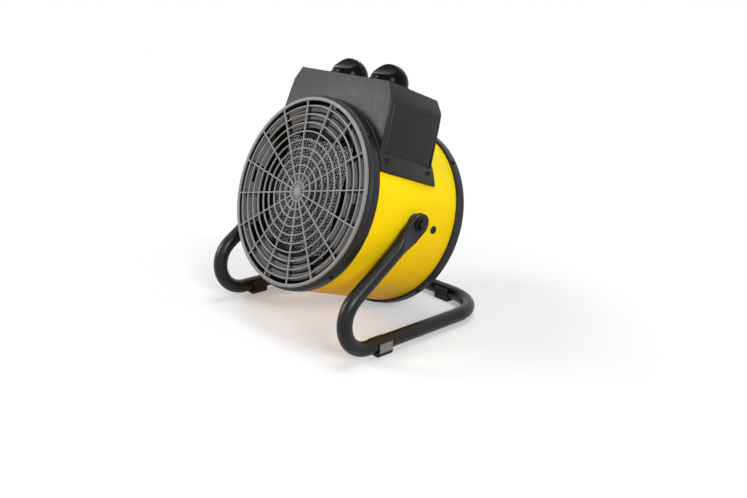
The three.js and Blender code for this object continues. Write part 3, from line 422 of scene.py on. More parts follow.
def pierced(outer, inner, low, high):
    """A plate across Y: an outline of (x, z) points with another one cut out of it."""
    bm = bmesh.new()
    loops = [[bm.verts.new((x, low, z)) for x, z in outline] for outline in (outer, inner)]
    edges = [bm.edges.new(pair) for loop in loops for pair in zip(loop, loop[1:] + loop[:1])]
    bmesh.ops.triangle_fill(bm, edges=edges, use_beauty=True)
    moved = bmesh.ops.extrude_face_region(bm, geom=bm.faces[:])["geom"]
    bmesh.ops.translate(bm, vec=(0, high - low, 0), verts=new_verts(moved))
    return tidy(bm)


def swept(section, stations):
    """A closed section of (x, y) points carried through matrices, as a solid."""
    bm = bmesh.new()
    face = bm.faces.new([bm.verts.new(stations[0] @ Vector((x, y, 0))) for x, y in section])
    for before, here in zip(stations, stations[1:]):
        moved = bmesh.ops.extrude_face_region(bm, geom=[face])["geom"]
        bmesh.ops.transform(bm, matrix=here @ before.inverted(), verts=new_verts(moved))
        face = next(element for element in moved if isinstance(element, bmesh.types.BMFace))
    return tidy(bm)


def soften(bm, width, segments=2, limit=SHARP_ANGLE, chosen=None):
    """Rounds the sharp edges, or those of them that a test picks."""
    edges = [
        edge for edge in bm.edges
        if len(edge.link_faces) == 2 and edge.calc_face_angle() > limit and (not chosen or chosen(edge))
    ]
    bmesh.ops.bevel(
        bm, geom=edges, offset=width, offset_type="OFFSET", segments=segments, profile=0.5,
        affect="EDGES", clamp_overlap=True, material=-1,
    )
    return bm


def circle(radius, steps=SMALL_STEPS):
    """A ring of points. With six steps it is a hexagon."""
    return [
        (radius * math.cos(k * FULL_TURN / steps), radius * math.sin(k * FULL_TURN / steps))
        for k in range(steps)
    ]


def bar_section(width, low, high, rounding, draft):
    """Outline of a moulded bar: rounded in front, narrower and flat behind."""
    rear = (width - draft) / 2
    corners = [(-width / 2, low), (width / 2, low), (rear, high), (-rear, high)]
    return fillet(corners, [rounding, rounding, rounding / 3, rounding / 3])


def turns_round(number, first=0.0):
    """Equal steps round the drum, as angles from the top."""
    return [first + k * FULL_TURN / number for k in range(number)]


def around(turn):
    """Turns a solid that stands at the top of the drum to an angle from the top."""
    return Matrix.Rotation(turn, 4, "Y")


def outwards(turn, radius, depth):
    """Stands a solid that was made along Y on the drum, pointing out from its axis."""
    lifted = Matrix.Translation((0, depth, radius)) @ Matrix.Rotation(QUARTER_TURN, 4, "X")
    return around(turn) @ lifted


def sideways(side, place):
    """Lays a solid that was made along Y across the drum, pointing out on one side."""
    return Matrix.Translation(place) @ Matrix.Rotation(-side * QUARTER_TURN, 4, "Z")


def upright(place):
    """Stands a solid that was made along Y on end, pointing up from a place."""
    return Matrix.Translation(place) @ Matrix.Rotation(QUARTER_TURN, 4, "X")


def mesh_of(bm, name):
    """A mesh with what a bmesh holds, which is then freed."""
    mesh = bpy.data.meshes.new(name)
    bm.to_mesh(mesh)
    bm.free()
    return mesh


def put_in_scene(name, data):
    made = bpy.data.objects.new(name, data)
    bpy.context.scene.collection.objects.link(made)
    return made


class Piece:
    """A visible piece, gathered from solids that may have finishes of their own."""

    def __init__(self, name, place=DRUM):
        self.name = name
        self.place = place
        self.bm = bmesh.new()
        self.finishes = []

    def add(self, solid, finish, place=None):
        if place:
            bmesh.ops.transform(solid, matrix=place, verts=solid.verts)
        if finish not in self.finishes:
            self.finishes.append(finish)
        for face in solid.faces:
            face.material_index = self.finishes.index(finish)
        mesh = mesh_of(solid, self.name)
        self.bm.from_mesh(mesh)
        bpy.data.meshes.remove(mesh)

    def paint(self, finish, chosen):
        """Gives the faces that a test picks another finish."""
        self.finishes.append(finish)
        for face in self.bm.faces:
            if chosen(face):
                face.material_index = len(self.finishes) - 1

    def finish(self, body, slot, nodes, limit=SHARP_ANGLE):
        """Makes the object, which stands for CAD nodes and rides on a body."""
        bm = self.bm
        bmesh.ops.transform(bm, matrix=self.place, verts=bm.verts)
        for face in bm.faces:
            face.smooth = True
        for edge in bm.edges:
            edge.smooth = len(edge.link_faces) == 2 and edge.calc_face_angle() < limit
        mesh = mesh_of(bm, self.name)
        for name in self.finishes:
            mesh.materials.append(finish_of(name))
        piece = put_in_scene(self.name, mesh)
        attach(piece, body)
        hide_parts(*nodes)


# ---------------------------------------------------------------- finishes


class Field:
    """A value that varies over a surface, for use in sums."""

    def __init__(self, recipe, socket):
        self.recipe = recipe
        self.socket = socket

    def __add__(self, other):
        return self.recipe.sum("ADD", self, other)

    def __radd__(self, other):
        return self.recipe.sum("ADD", other, self)

    def __sub__(self, other):
        return self.recipe.sum("SUBTRACT", self, other)

    def __rsub__(self, other):
        return self.recipe.sum("SUBTRACT", other, self)

    def __mul__(self, other):
        return self.recipe.sum("MULTIPLY", self, other)

    def __rmul__(self, other):
        return self.recipe.sum("MULTIPLY", other, self)


class Recipe:
    """A material while its nodes are put together."""

    def __init__(self, name, tree=None):
        if tree is None:
            self.material = bpy.data.materials.new(name)
            self.material.use_nodes = True
            tree = self.material.node_tree
        self.tree = tree
        self.shader = tree.nodes.get("Principled BSDF")
        self.place = self.node("ShaderNodeTexCoord", output="Object")

    def node(self, kind, settings=None, inputs=None, output=0):
        """Adds a node: its settings first, then the values or links of its sockets."""
        made = self.tree.nodes.new(kind)
        for key, value in (settings or {}).items():
            setattr(made, key, value)
        self.fill(made, inputs or {})
        return Field(self, made.outputs[output])

    def fill(self, node, inputs):
        for key, value in inputs.items():
            if isinstance(value, Field):
                self.tree.links.new(value.socket, node.inputs[key])
            else:
                node.inputs[key].default_value = value

    def sum(self, operation, first, second):
        return self.node("ShaderNodeMath", {"operation": operation}, {0: first, 1: second})

    def noise(self, scale, detail=2.0, roughness=0.5, place=None):
        return self.node(
            "ShaderNodeTexNoise", {}, {
                "Vector": place or self.place, "Scale": scale, "Detail": detail, "Roughness": roughness
            }
        )

    def ramp(self, value, low, high, to_low=0.0, to_high=1.0):
        return self.node(
            "ShaderNodeMapRange", {}, {
                "Value": value, "From Min": low, "From Max": high, "To Min": to_low, "To Max": to_high
            }
        )

    def blend(self, factor, first, second):
        settings = {"data_type": "RGBA"}
        return self.node("ShaderNodeMix", settings, {0: factor, 6: first, 7: second}, output=2)

    def stretched(self, scale):
        return self.node("ShaderNodeMapping", {}, {"Vector": self.place, "Scale": scale})

    def bump(self, height, distance):
        inputs = {"Height": height, "Distance": distance, "Strength": 1.0}
        return self.node("ShaderNodeBump", {}, inputs)


def rgba(colour, gain=1.0):
    return (*[channel * gain for channel in colour], 1.0)


def coated_steel(name, colour, roughness, peel, sheen):
    """Powder coat: a fine orange peel, faint patches and a little dust in the tone."""
    recipe = Recipe(name)
    patches = recipe.noise(scale=22, detail=3)
    specks = recipe.noise(scale=1500, detail=1)
    tone = recipe.ramp(patches + 0.35 * specks, 0.45, 0.9)
    dull = recipe.noise(scale=90, detail=3)
    recipe.fill(recipe.shader, {
        "Base Color": recipe.blend(tone, rgba(colour, 0.94), rgba(colour, 1.05)),
        "Roughness": recipe.ramp(dull, 0.3, 0.7, roughness - 0.05, roughness + 0.06),
        "Specular IOR Level": sheen,
        "Normal": recipe.bump(recipe.noise(scale=620, detail=2, roughness=0.45), peel),
    })
    return recipe.material


def moulded_plastic(name, colour, roughness, grain, grain_depth, sheen=0.3):
    """Moulded plastic: a spark-eroded grain, slow changes of tone and faint scuffs."""
    recipe = Recipe(name)
    slow = recipe.noise(scale=14, detail=4, roughness=0.6)
    fine = recipe.noise(scale=grain, detail=3, roughness=0.6)
    streaks = recipe.stretched((1.0, 0.25, 1.0))
    scuffed = recipe.ramp(recipe.noise(scale=60, detail=6, roughness=0.75, place=streaks), 0.56, 0.72)
    scuff_colour = rgba((0.3, 0.3, 0.3))
    tone = recipe.ramp(0.6 * slow + 0.4 * fine, 0.3, 0.7)
    plain = recipe.blend(tone, rgba(colour, 0.88), rgba(colour, 1.12))
    recipe.fill(recipe.shader, {
        "Base Color": recipe.blend(0.02 * scuffed, plain, scuff_colour),
        "Roughness": recipe.ramp(fine, 0.3, 0.7, roughness - 0.06, roughness + 0.06) - 0.08 * scuffed,
        "Specular IOR Level": sheen,
        "Normal": recipe.bump(fine, grain_depth),
    })
    return recipe.material


def bare_metal(name, colour, roughness, stretch, depth=0.00004):
    """Bare or plated metal with fine lines along one direction."""
    recipe = Recipe(name)
    lines = recipe.noise(scale=900, detail=3, roughness=0.6, place=recipe.stretched(stretch))
    clouds = recipe.noise(scale=70, detail=4, roughness=0.6)
    recipe.fill(recipe.shader, {
        "Base Color": recipe.blend(recipe.ramp(clouds, 0.3, 0.7), rgba(colour, 0.82), rgba(colour, 1.1)),
        "Metallic": 1.0,
        "Roughness": recipe.ramp(0.5 * lines + 0.5 * clouds, 0.3, 0.7, roughness - 0.08, roughness + 0.1),
        "Normal": recipe.bump(lines, depth),
    })
    return recipe.material


def gloss_plastic(name, colour):
    """Polished plastic with faint smears in its gloss."""
    recipe = Recipe(name)
    smears = recipe.noise(scale=45, detail=5, roughness=0.65)
    recipe.fill(recipe.shader, {
        "Base Color": recipe.blend(recipe.ramp(smears, 0.35, 0.7), rgba(colour, 0.8), rgba(colour, 1.5)),
        "Roughness": recipe.ramp(smears, 0.3, 0.75, 0.1, 0.17),
        "Specular IOR Level": 0.06,
        "Normal": recipe.bump(recipe.noise(scale=260, detail=2), 0.00003),
    })
    return recipe.material


def scuffed_rubber(name, colour, dust):
    """Rubber with a dull skin that has gone grey where it rubs."""
    recipe = Recipe(name)
    mottle = recipe.noise(scale=240, detail=5, roughness=0.7)
    skin = recipe.noise(scale=1300, detail=2)
    recipe.fill(recipe.shader, {
        "Base Color": recipe.blend(recipe.ramp(mottle, 0.4, 0.75), rgba(colour), rgba(dust)),
        "Roughness": recipe.ramp(skin, 0.3, 0.7, 0.62, 0.8),
        "Specular IOR Level": 0.3,
        "Normal": recipe.bump(skin, 0.00008),
    })
    return recipe.material


def ribbed_flank(name, colour):
    """The pale flank of a front foot, with fine upright ribs: a painted reflection of the bright floor."""
    recipe = Recipe(name)
    ribs = recipe.node(
        "ShaderNodeTexWave", {"wave_type": "BANDS", "bands_direction": "Y"},
        {"Vector": recipe.place, "Scale": 90.0, "Distortion": 0.6, "Detail": 1.0},
    )
    mottle = recipe.noise(scale=300, detail=4, roughness=0.7)
    tone = recipe.ramp(0.45 * ribs + 0.55 * mottle, 0.25, 0.75)
    recipe.fill(recipe.shader, {
        "Base Color": recipe.blend(tone, rgba(colour, 0.7), rgba(colour, 1.4)),
        "Roughness": 0.5,
        "Normal": recipe.bump(ribs, 0.0002),
    })
    return recipe.material


def finish_table():
    """Each finish by name: the function that makes it, and what that takes after the name."""
    colour = bpy.context.scene.heater.colour
    along_drum = (1.0, 0.04, 1.0)
    round_drum = (0.2, 1.0, 0.2)
    upwards = (1.0, 1.0, 0.1)
    return {
        # colour, roughness, height of the orange peel, sheen
        "yellow_coat": (coated_steel, colour.drum, 0.48, 0.00004, 0.16),
        "dark_inside": (coated_steel, colour.inside_shade_tint, 0.7, 0.0001, 0.08),
        "black_coat": (coated_steel, colour.stand, 0.31, 0.000015, 0.32),
        "mark_paint": (coated_steel, colour.marks, 0.5, 0.00002, 0.4),
        # colour, roughness, scale and depth of the grain, sheen
        "casing_plastic": (moulded_plastic, colour.casing, 0.45, 1100, 0.00007),
        "grille_plastic": (moulded_plastic, colour.grille, 0.5, 900, 0.00005),
        "guide_plastic": (moulded_plastic, colour.guide, 0.6, 700, 0.00006),
        "cap_plastic": (moulded_plastic, colour.end_caps, 0.6, 800, 0.0001, 0.1),
        "blade_plastic": (moulded_plastic, colour.fan, 0.42, 900, 0.00005),
        "ivory_plastic": (moulded_plastic, colour.ivory, 0.5, 900, 0.00005, 0.5),
        # colour, roughness, stretch and depth of the lines
        "fin_metal": (bare_metal, colour.fins, 0.42, upwards),
        "sooty_metal": (bare_metal, colour.fins_in_shade, 0.5, upwards),
        "zinc_plate": (bare_metal, colour.zinc, 0.34, round_drum),
        "galvanised_sheet": (bare_metal, colour.galvanised, 0.42, along_drum),
        "dark_bolt": (bare_metal, colour.dark_steel, 0.34, round_drum, 0.00006),
        # colour, and the colour of dust on the rubber
        "knob_gloss": (gloss_plastic, colour.knob),
        "clip_rubber": (scuffed_rubber, colour.rubber, (0.04, 0.04, 0.04)),
        "worn_flank": (ribbed_flank, colour.flank_reflection),
    }


def finish_of(name):
    """The material with a name, made when it is first asked for."""
    if name not in bpy.data.materials:
        make, *what = finish_table()[name]
        make(name, *what)
    return bpy.data.materials[name]


# ---------------------------------------------------------------- pieces


class HeaterStep:
    """What the operators share: each runs in one step and can be undone."""

    bl_options = {"REGISTER", "UNDO"}


class HEATER_OT_drum_shell(HeaterStep, bpy.types.Operator):
    """Roll the drum's yellow sheet"""

    bl_idname = "heater.drum_shell"
    bl_label = "Drum shell"

    def execute(self, context):
        wall = context.scene.heater.drum.shell_wall
        low, high = span("drum_shell")
        radius = high.x
        corners = [(radius - wall, low.y), (radius, low.y), (radius, high.y), (radius - wall, high.y)]
        piece = Piece("heater_drum_shell")
        piece.add(turned(fillet(corners, wall * 0.4, 2)), "yellow_coat")
        # Painted shade: the shell's inner faces are near black, for the shade inside the drum.
        middle = radius - wall / 2
        piece.paint("dark_inside", lambda face: math.hypot(*face.calc_center_median().xz) < middle)
        piece.finish("housing", "yellow_paint", ["drum_shell"])
        return {"FINISHED"}


class HEATER_OT_end_rings(HeaterStep, bpy.types.Operator):
    """Turn the black rings at the drum's two ends"""

    bl_idname = "heater.end_rings"
    bl_label = "End rings"

    def execute(self, context):
        sizes = context.scene.heater.drum
        self.front(sizes)
        self.rear(sizes)
        return {"FINISHED"}

    def front(self, sizes):
        low, high = span("front_ring")
        outer = high.x
        inner = outer - sizes.ring_wall
        lip = outer - sizes.lip_width
        shoulder = outer - sizes.ring_slope_width
        small = sizes.edge_rounding
        profile = fillet(
            [
                (lip, low.y), (shoulder, low.y), (outer, low.y + sizes.ring_slope), (outer, high.y),
                (inner, high.y), (inner, low.y + sizes.lip_wall), (lip, low.y + sizes.lip_wall),
            ],
            [small, small, small * 2, small, small / 2, 0, small],
        )
        piece = Piece("heater_front_ring")
        piece.add(turned(profile), "casing_plastic")
        piece.finish("housing", "black_plastic", ["front_ring"])

    def rear(self, sizes):
        low, high = span("rear_ring")
        outer = high.x
        inner = span("front_ring")[1].x - sizes.ring_wall
        lip = outer - sizes.rear_lip_width
        small = sizes.edge_rounding
        profile = fillet(
            [
                (inner, low.y), (outer, low.y), (outer, high.y), (lip, high.y),
                (lip, high.y - sizes.rear_lip_wall), (inner, high.y - sizes.rear_lip_wall),
            ],
            [small / 2, small * 1.4, sizes.rear_rounding, small, small, 0],
            4,
        )
        piece = Piece("heater_rear_ring")
        piece.add(turned(profile), "casing_plastic")
        piece.finish("housing", "black_plastic", ["rear_ring"])


def add_bars(piece, finish, section, radii, turns, hub, rim):
    """Adds a guard's rings, and its spokes, which start inside the hub and end inside the rim."""
    start = 0.8 * hub
    end = rim[0] + 0.3 * (rim[1] - rim[0])
    for radius in radii:
        steps = FINE_STEPS if radius > end / 3 else MIDDLE_STEPS
        piece.add(turned([(radius + x, y) for x, y in section], steps), finish)
    for turn in turns:
        piece.add(prism([(x, y, start) for x, y in section], (0, 0, end - start)), finish, around(turn))


class HEATER_OT_front_grille(HeaterStep, bpy.types.Operator):
    """Mould the grey front grille"""

    bl_idname = "heater.front_grille"
    bl_label = "Front grille"

    def execute(self, context):
        sizes = context.scene.heater.grille
        low, high = span("front_grille")
        rim = high.x
        flange = rim - sizes.flange_width
        edge = sizes.bar_rounding
        section = bar_section(sizes.bar_width, low.y, low.y + sizes.bar_depth, edge, sizes.bar_draft)
        pitch = (flange - sizes.outer_gap - sizes.inner_ring) / (sizes.rings - 1)
        radii = [sizes.inner_ring + i * pitch for i in range(sizes.rings)]
        turns = turns_round(sizes.spokes, sizes.turn)
        piece = Piece("heater_front_grille")
        add_bars(piece, "grille_plastic", section, radii, turns, sizes.hub_radius, (flange, rim))
        flange_profile = [
            (flange, low.y), (rim, low.y), (rim, high.y), (rim - sizes.flange_seat, high.y),
            (flange, low.y + sizes.flange_edge),
        ]
        piece.add(turned(fillet(flange_profile, edge * 0.6)), "grille_plastic")
        piece.add(rod(sizes.hub_radius, low.y, high.y, MIDDLE_STEPS, edge), "grille_plastic")
        piece.finish("housing", "grey_plastic", ["front_grille"])
        return {"FINISHED"}


class HEATER_OT_rear_guard(HeaterStep, bpy.types.Operator):
    """Mould the black guard over the air inlet"""

    bl_idname = "heater.rear_guard"
    bl_label = "Rear guard"

    def execute(self, context):
        sizes = context.scene.heater.grille
        low, high = span("rear_guard")
        rim = high.x
        inner = rim - sizes.guard_rim
        hub = sizes.guard_hub
        edge = sizes.bar_rounding
        corners = bar_section(sizes.guard_bar, low.y, high.y, edge, sizes.bar_draft)
        section = [(-x, low.y + high.y - y) for x, y in corners]
        pitch = (inner - hub) / (sizes.guard_rings + 1)
        radii = [hub + (i + 1) * pitch for i in range(sizes.guard_rings)]
        piece = Piece("heater_rear_guard")
        turns = turns_round(sizes.guard_spokes)
        add_bars(piece, "casing_plastic", section, radii, turns, hub, (inner, rim))
        rim_profile = [(inner, low.y), (rim, low.y), (rim, high.y), (inner, high.y)]
        piece.add(turned(fillet(rim_profile, edge)), "casing_plastic")
        piece.add(rod(hub, low.y, high.y, MIDDLE_STEPS, edge), "casing_plastic")
        piece.finish("housing", "black_plastic", ["rear_guard"])
        return {"FINISHED"}


class HEATER_OT_guide_plate(HeaterStep, bpy.types.Operator):
    """Mould the ribbed plate behind the grille"""

    bl_idname = "heater.guide_plate"
    bl_label = "Guide plate"

    def execute(self, context):
        heater = context.scene.heater
        sizes = heater.guide
        rear = span("guide_plate")[1].y
        outer = span("front_ring")[1].x - heater.drum.lip_width - sizes.lip_gap
        inner = outer - sizes.width
        front = span("front_grille")[1].y + sizes.gap
        backing = (rear - sizes.backing, rear)
        pitch = sizes.width / sizes.ribs
        ribs = [
            (inner + i * pitch + sizes.rib_gap / 2, inner + (i + 1) * pitch - sizes.rib_gap / 2)
            for i in range(sizes.ribs)
        ]
        slotted = ribs[len(ribs) // 2]
        half_slot = math.asin(sizes.slot_height / 2 / slotted[1])
        windows = [
            (half_turn + side * sizes.window_angle - sizes.window_span / 2, sizes.window_span)
            for half_turn in (0, math.pi) for side in (1, -1)
        ]
        slots = [(side * QUARTER_TURN - half_slot, 2 * half_slot) for side in (1, -1)]
        plain = [((inner, outer), *stretch) for stretch in stretches_between(windows + slots)]
        plain += [((outer - sizes.rim, outer), *window) for window in windows]
        for slot in slots:
            plain.append(((inner, slotted[0] - sizes.rib_gap), *slot))
            plain.append(((slotted[1] + sizes.rib_gap, outer), *slot))
        piece = Piece("heater_guide_plate")
        # Painted shade: the backing behind the ribs is near black, for the shade in the gaps behind the
        # grille.
        for radii, start, sweep in plain:
            piece.add(band(radii, backing, start, sweep), "dark_inside")
        spokes = turns_round(heater.grille.spokes, heater.grille.turn)
        slits = [(turn - sizes.slit / 2, sizes.slit) for turn in spokes]
        for rib in ribs:
            cuts = [] if rib is ribs[-1] else windows + (slots if rib is slotted else [])
            for start, sweep in stretches_between(slits + cuts):
                if sweep > 2 * sizes.slit:
                    self.rib(piece, sizes, rib, (front, backing[0] + OVERLAP), start, sweep)
        self.pegs(piece, sizes, spokes, ribs, (front - sizes.peg_rise, backing[0]))
        self.tabs(piece, sizes, spokes[::4], outer, (backing[0] - sizes.tab_rise, backing[1]))
        piece.finish("housing", "grey_plastic", ["guide_plate"])
        return {"FINISHED"}

    def rib(self, piece, sizes, radii, depths, start, sweep):
        """Adds a raised rib with a groove along its middle."""
        inner, outer = radii
        front, rear = depths
        middle = (inner + outer) / 2
        half_groove = (outer - inner) / 8
        corners = [
            (inner, rear), (inner, front), (middle - half_groove, front), (middle, front + sizes.groove),
            (middle + half_groove, front), (outer, front), (outer, rear),
        ]
        edge = sizes.rib_rounding
        profile = fillet(corners, [0, edge, edge / 4, 0, edge / 4, edge, 0], 2)
        rib = turned(profile, steps_over(sweep), start, sweep)
        piece.add(soften(rib, edge, 2, math.radians(60)), "guide_plastic")

    def pegs(self, piece, sizes, spokes, ribs, depths):
        """Adds a small round peg on each rib beside each spoke."""
        for turn in spokes:
            for radii in ribs:
                peg = rod(sizes.peg_radius, *depths, 12, sizes.peg_radius / 3)
                middle = Matrix.Translation((0, 0, sum(radii) / 2))
                piece.add(peg, "guide_plastic", around(turn - sizes.peg_turn) @ middle)

    def tabs(self, piece, sizes, turns, outer, depths):
        """Adds the tabs that reach out to the drum's wall."""
        half = sizes.tab_width / 2
        root = outer - 1.5 * MM
        tip = span("guide_plate")[1].x - 0.2 * MM
        for turn in turns:
            tab = block((-half, depths[0], root), (half, depths[1], tip))
            piece.add(soften(tab, 0.4 * MM, 1), "guide_plastic", around(turn))


def stretches_between(cuts):
    """The stretches of a full turn that a list of (start, sweep) leaves free."""
    cuts = sorted((start % FULL_TURN, sweep) for start, sweep in cuts)
    free = []
    reached = cuts[0][0] + cuts[0][1]
    for start, sweep in [*cuts[1:], (cuts[0][0] + FULL_TURN, 0)]:
        if start > reached + 1e-4:
            free.append((reached, start - reached))
        reached = max(reached, start + sweep)
    return free


class HEATER_OT_element(HeaterStep, bpy.types.Operator):
    """Fold the fins of the heating element and set it in its end caps and baffle"""

    bl_idname = "heater.element"
    bl_label = "Heating element"

    def execute(self, context):
        sizes = context.scene.heater.element
        self.core(sizes)
        self.end_caps(sizes)
        self.baffle()
        self.cut_out()
        return {"FINISHED"}

    def core(self, sizes):
        low, high = span("heater_core")
        piece = Piece("heater_element_core")
        pitch = (high.x - low.x - sizes.bar_wall) / sizes.strips
        for i in range(sizes.strips + 1):
            x = low.x + i * pitch
            piece.add(block((x, low.y, low.z), (x + sizes.bar_wall, high.y, high.z)), "sooty_metal")
        for i in range(sizes.strips):
            x0 = low.x + i * pitch + sizes.bar_wall
            piece.add(self.fins(sizes, x0, x0 + pitch - sizes.bar_wall, low, high, i), "sooty_metal")
        # Painted shade: only faces that face forwards get the aluminium; the fins' other faces and the bars
        # stay near black, for the shade between them.
        piece.paint("fin_metal", lambda face: face.normal.y < -0.6)
        # A near-black sheet behind the fins: painted shade that closes the view through the element.
        inset = 0.1 * MM
        shade_sheet = block(
            (low.x + inset, high.y - 0.5 * MM, low.z), (high.x - inset, high.y - inset, high.z)
        )
        piece.add(shade_sheet, "sooty_metal")
        piece.finish("housing", "fin_aluminium", ["heater_core"])

    def fins(self, sizes, x0, x1, low, high, column):
        """A sheet folded to and fro between two bars, each fold with a small lean of its own."""
        bm = bmesh.new()
        folds = int((high.z - low.z) / sizes.fold_pitch)
        half_pitch = (high.z - low.z) / folds / 2
        front = low.y + sizes.fin_setback
        corners = []
        for k in range(2 * folds + 1):
            lean = noise.noise(Vector((column * 3.7, k * 0.61, 0.3))) * half_pitch * 0.6
            z = min(max(low.z + k * half_pitch + lean, low.z), high.z)
            corners.append(bm.verts.new((x0 if (k + column) % 2 else x1, front, z)))
        edges = [bm.edges.new(pair) for pair in zip(corners, corners[1:])]
        moved = bmesh.ops.extrude_edge_only(bm, edges=edges)["geom"]
        depth = high.y - low.y - 2 * sizes.fin_setback
        bmesh.ops.translate(bm, vec=(0, depth, 0), verts=new_verts(moved))
        bmesh.ops.solidify(bm, geom=bm.faces[:], thickness=sizes.fin_wall)
        return tidy(bm)

    def end_caps(self, sizes):
        """The ribbed mouldings above and below the core."""
        half_rib = 1 * MM
        margin = 1.5 * MM
        for node in ("end_cap_top", "end_cap_bottom"):
            low, high = span(node)
            piece = Piece(f"heater_{node}")
            piece.add(soften(block(low, high), sizes.cap_rounding, 3), "cap_plastic")
            front, rear = low.y - 0.05 * MM, low.y + 1 * MM
            for k in (-2, -1, 0, 1, 2):
                x = k * (high.x - low.x) / 5.5
                rib = block((x - half_rib, front, low.z + margin), (x + half_rib, rear, high.z - margin))
                piece.add(soften(rib, 0.3 * MM, 1), "cap_plastic")
            piece.finish("housing", "heat_plastic", [node])

    def baffle(self):
        """The round plate behind the element, with a window that follows the core and its caps. It is near
        black: painted shade.
        """
        low, high = span("baffle_plate")
        caps = [span("end_cap_top"), span("end_cap_bottom")]
        gap = 0.5 * MM
        across = caps[0][1].x + gap
        up = caps[0][1].z + gap
        waist = span("heater_core")[1].x + gap
        step = caps[0][0].z - gap
        right = [
            (across, -up), (across, -step), (waist, -step), (waist, step), (across, step), (across, up),
        ]
        window = right + [(-x, z) for x, z in reversed(right)]
        piece = Piece("heater_baffle_plate")
        piece.add(pierced(circle(high.x, FINE_STEPS), window, low.y, high.y), "dark_inside")
        piece.finish("housing", "galvanised_steel", ["baffle_plate"])

    def cut_out(self):
        """The thermal cut-out: a stepped round body with a flat tag at either end."""
        low, high = span("thermal_cut_out")
        radius = (high.x - low.x) / 2
        neck = 0.72 * radius
        step = (low.y + high.y) / 2
        corners = [(0, low.y), (radius, low.y), (radius, step), (neck, step), (neck, high.y), (0, high.y)]
        body = turned(fillet(corners, [0, 0.3 * MM, 0.5 * MM, 0.2 * MM, 0.8 * MM, 0]), FEWER_STEPS)
        place = Matrix.Translation(((low.x + high.x) / 2, 0, 0))
        piece = Piece("heater_thermal_cut_out")
        piece.add(body, "ivory_plastic", place)
        half_tag = 1.5 * MM
        for side in (1, -1):
            tag = block(
                (-half_tag, low.y, side * radius * 0.9), (half_tag, low.y + 0.8 * MM, side * radius)
            )
            piece.add(tag, "zinc_plate", place)
        piece.finish("housing", "pale_plastic", ["thermal_cut_out"])


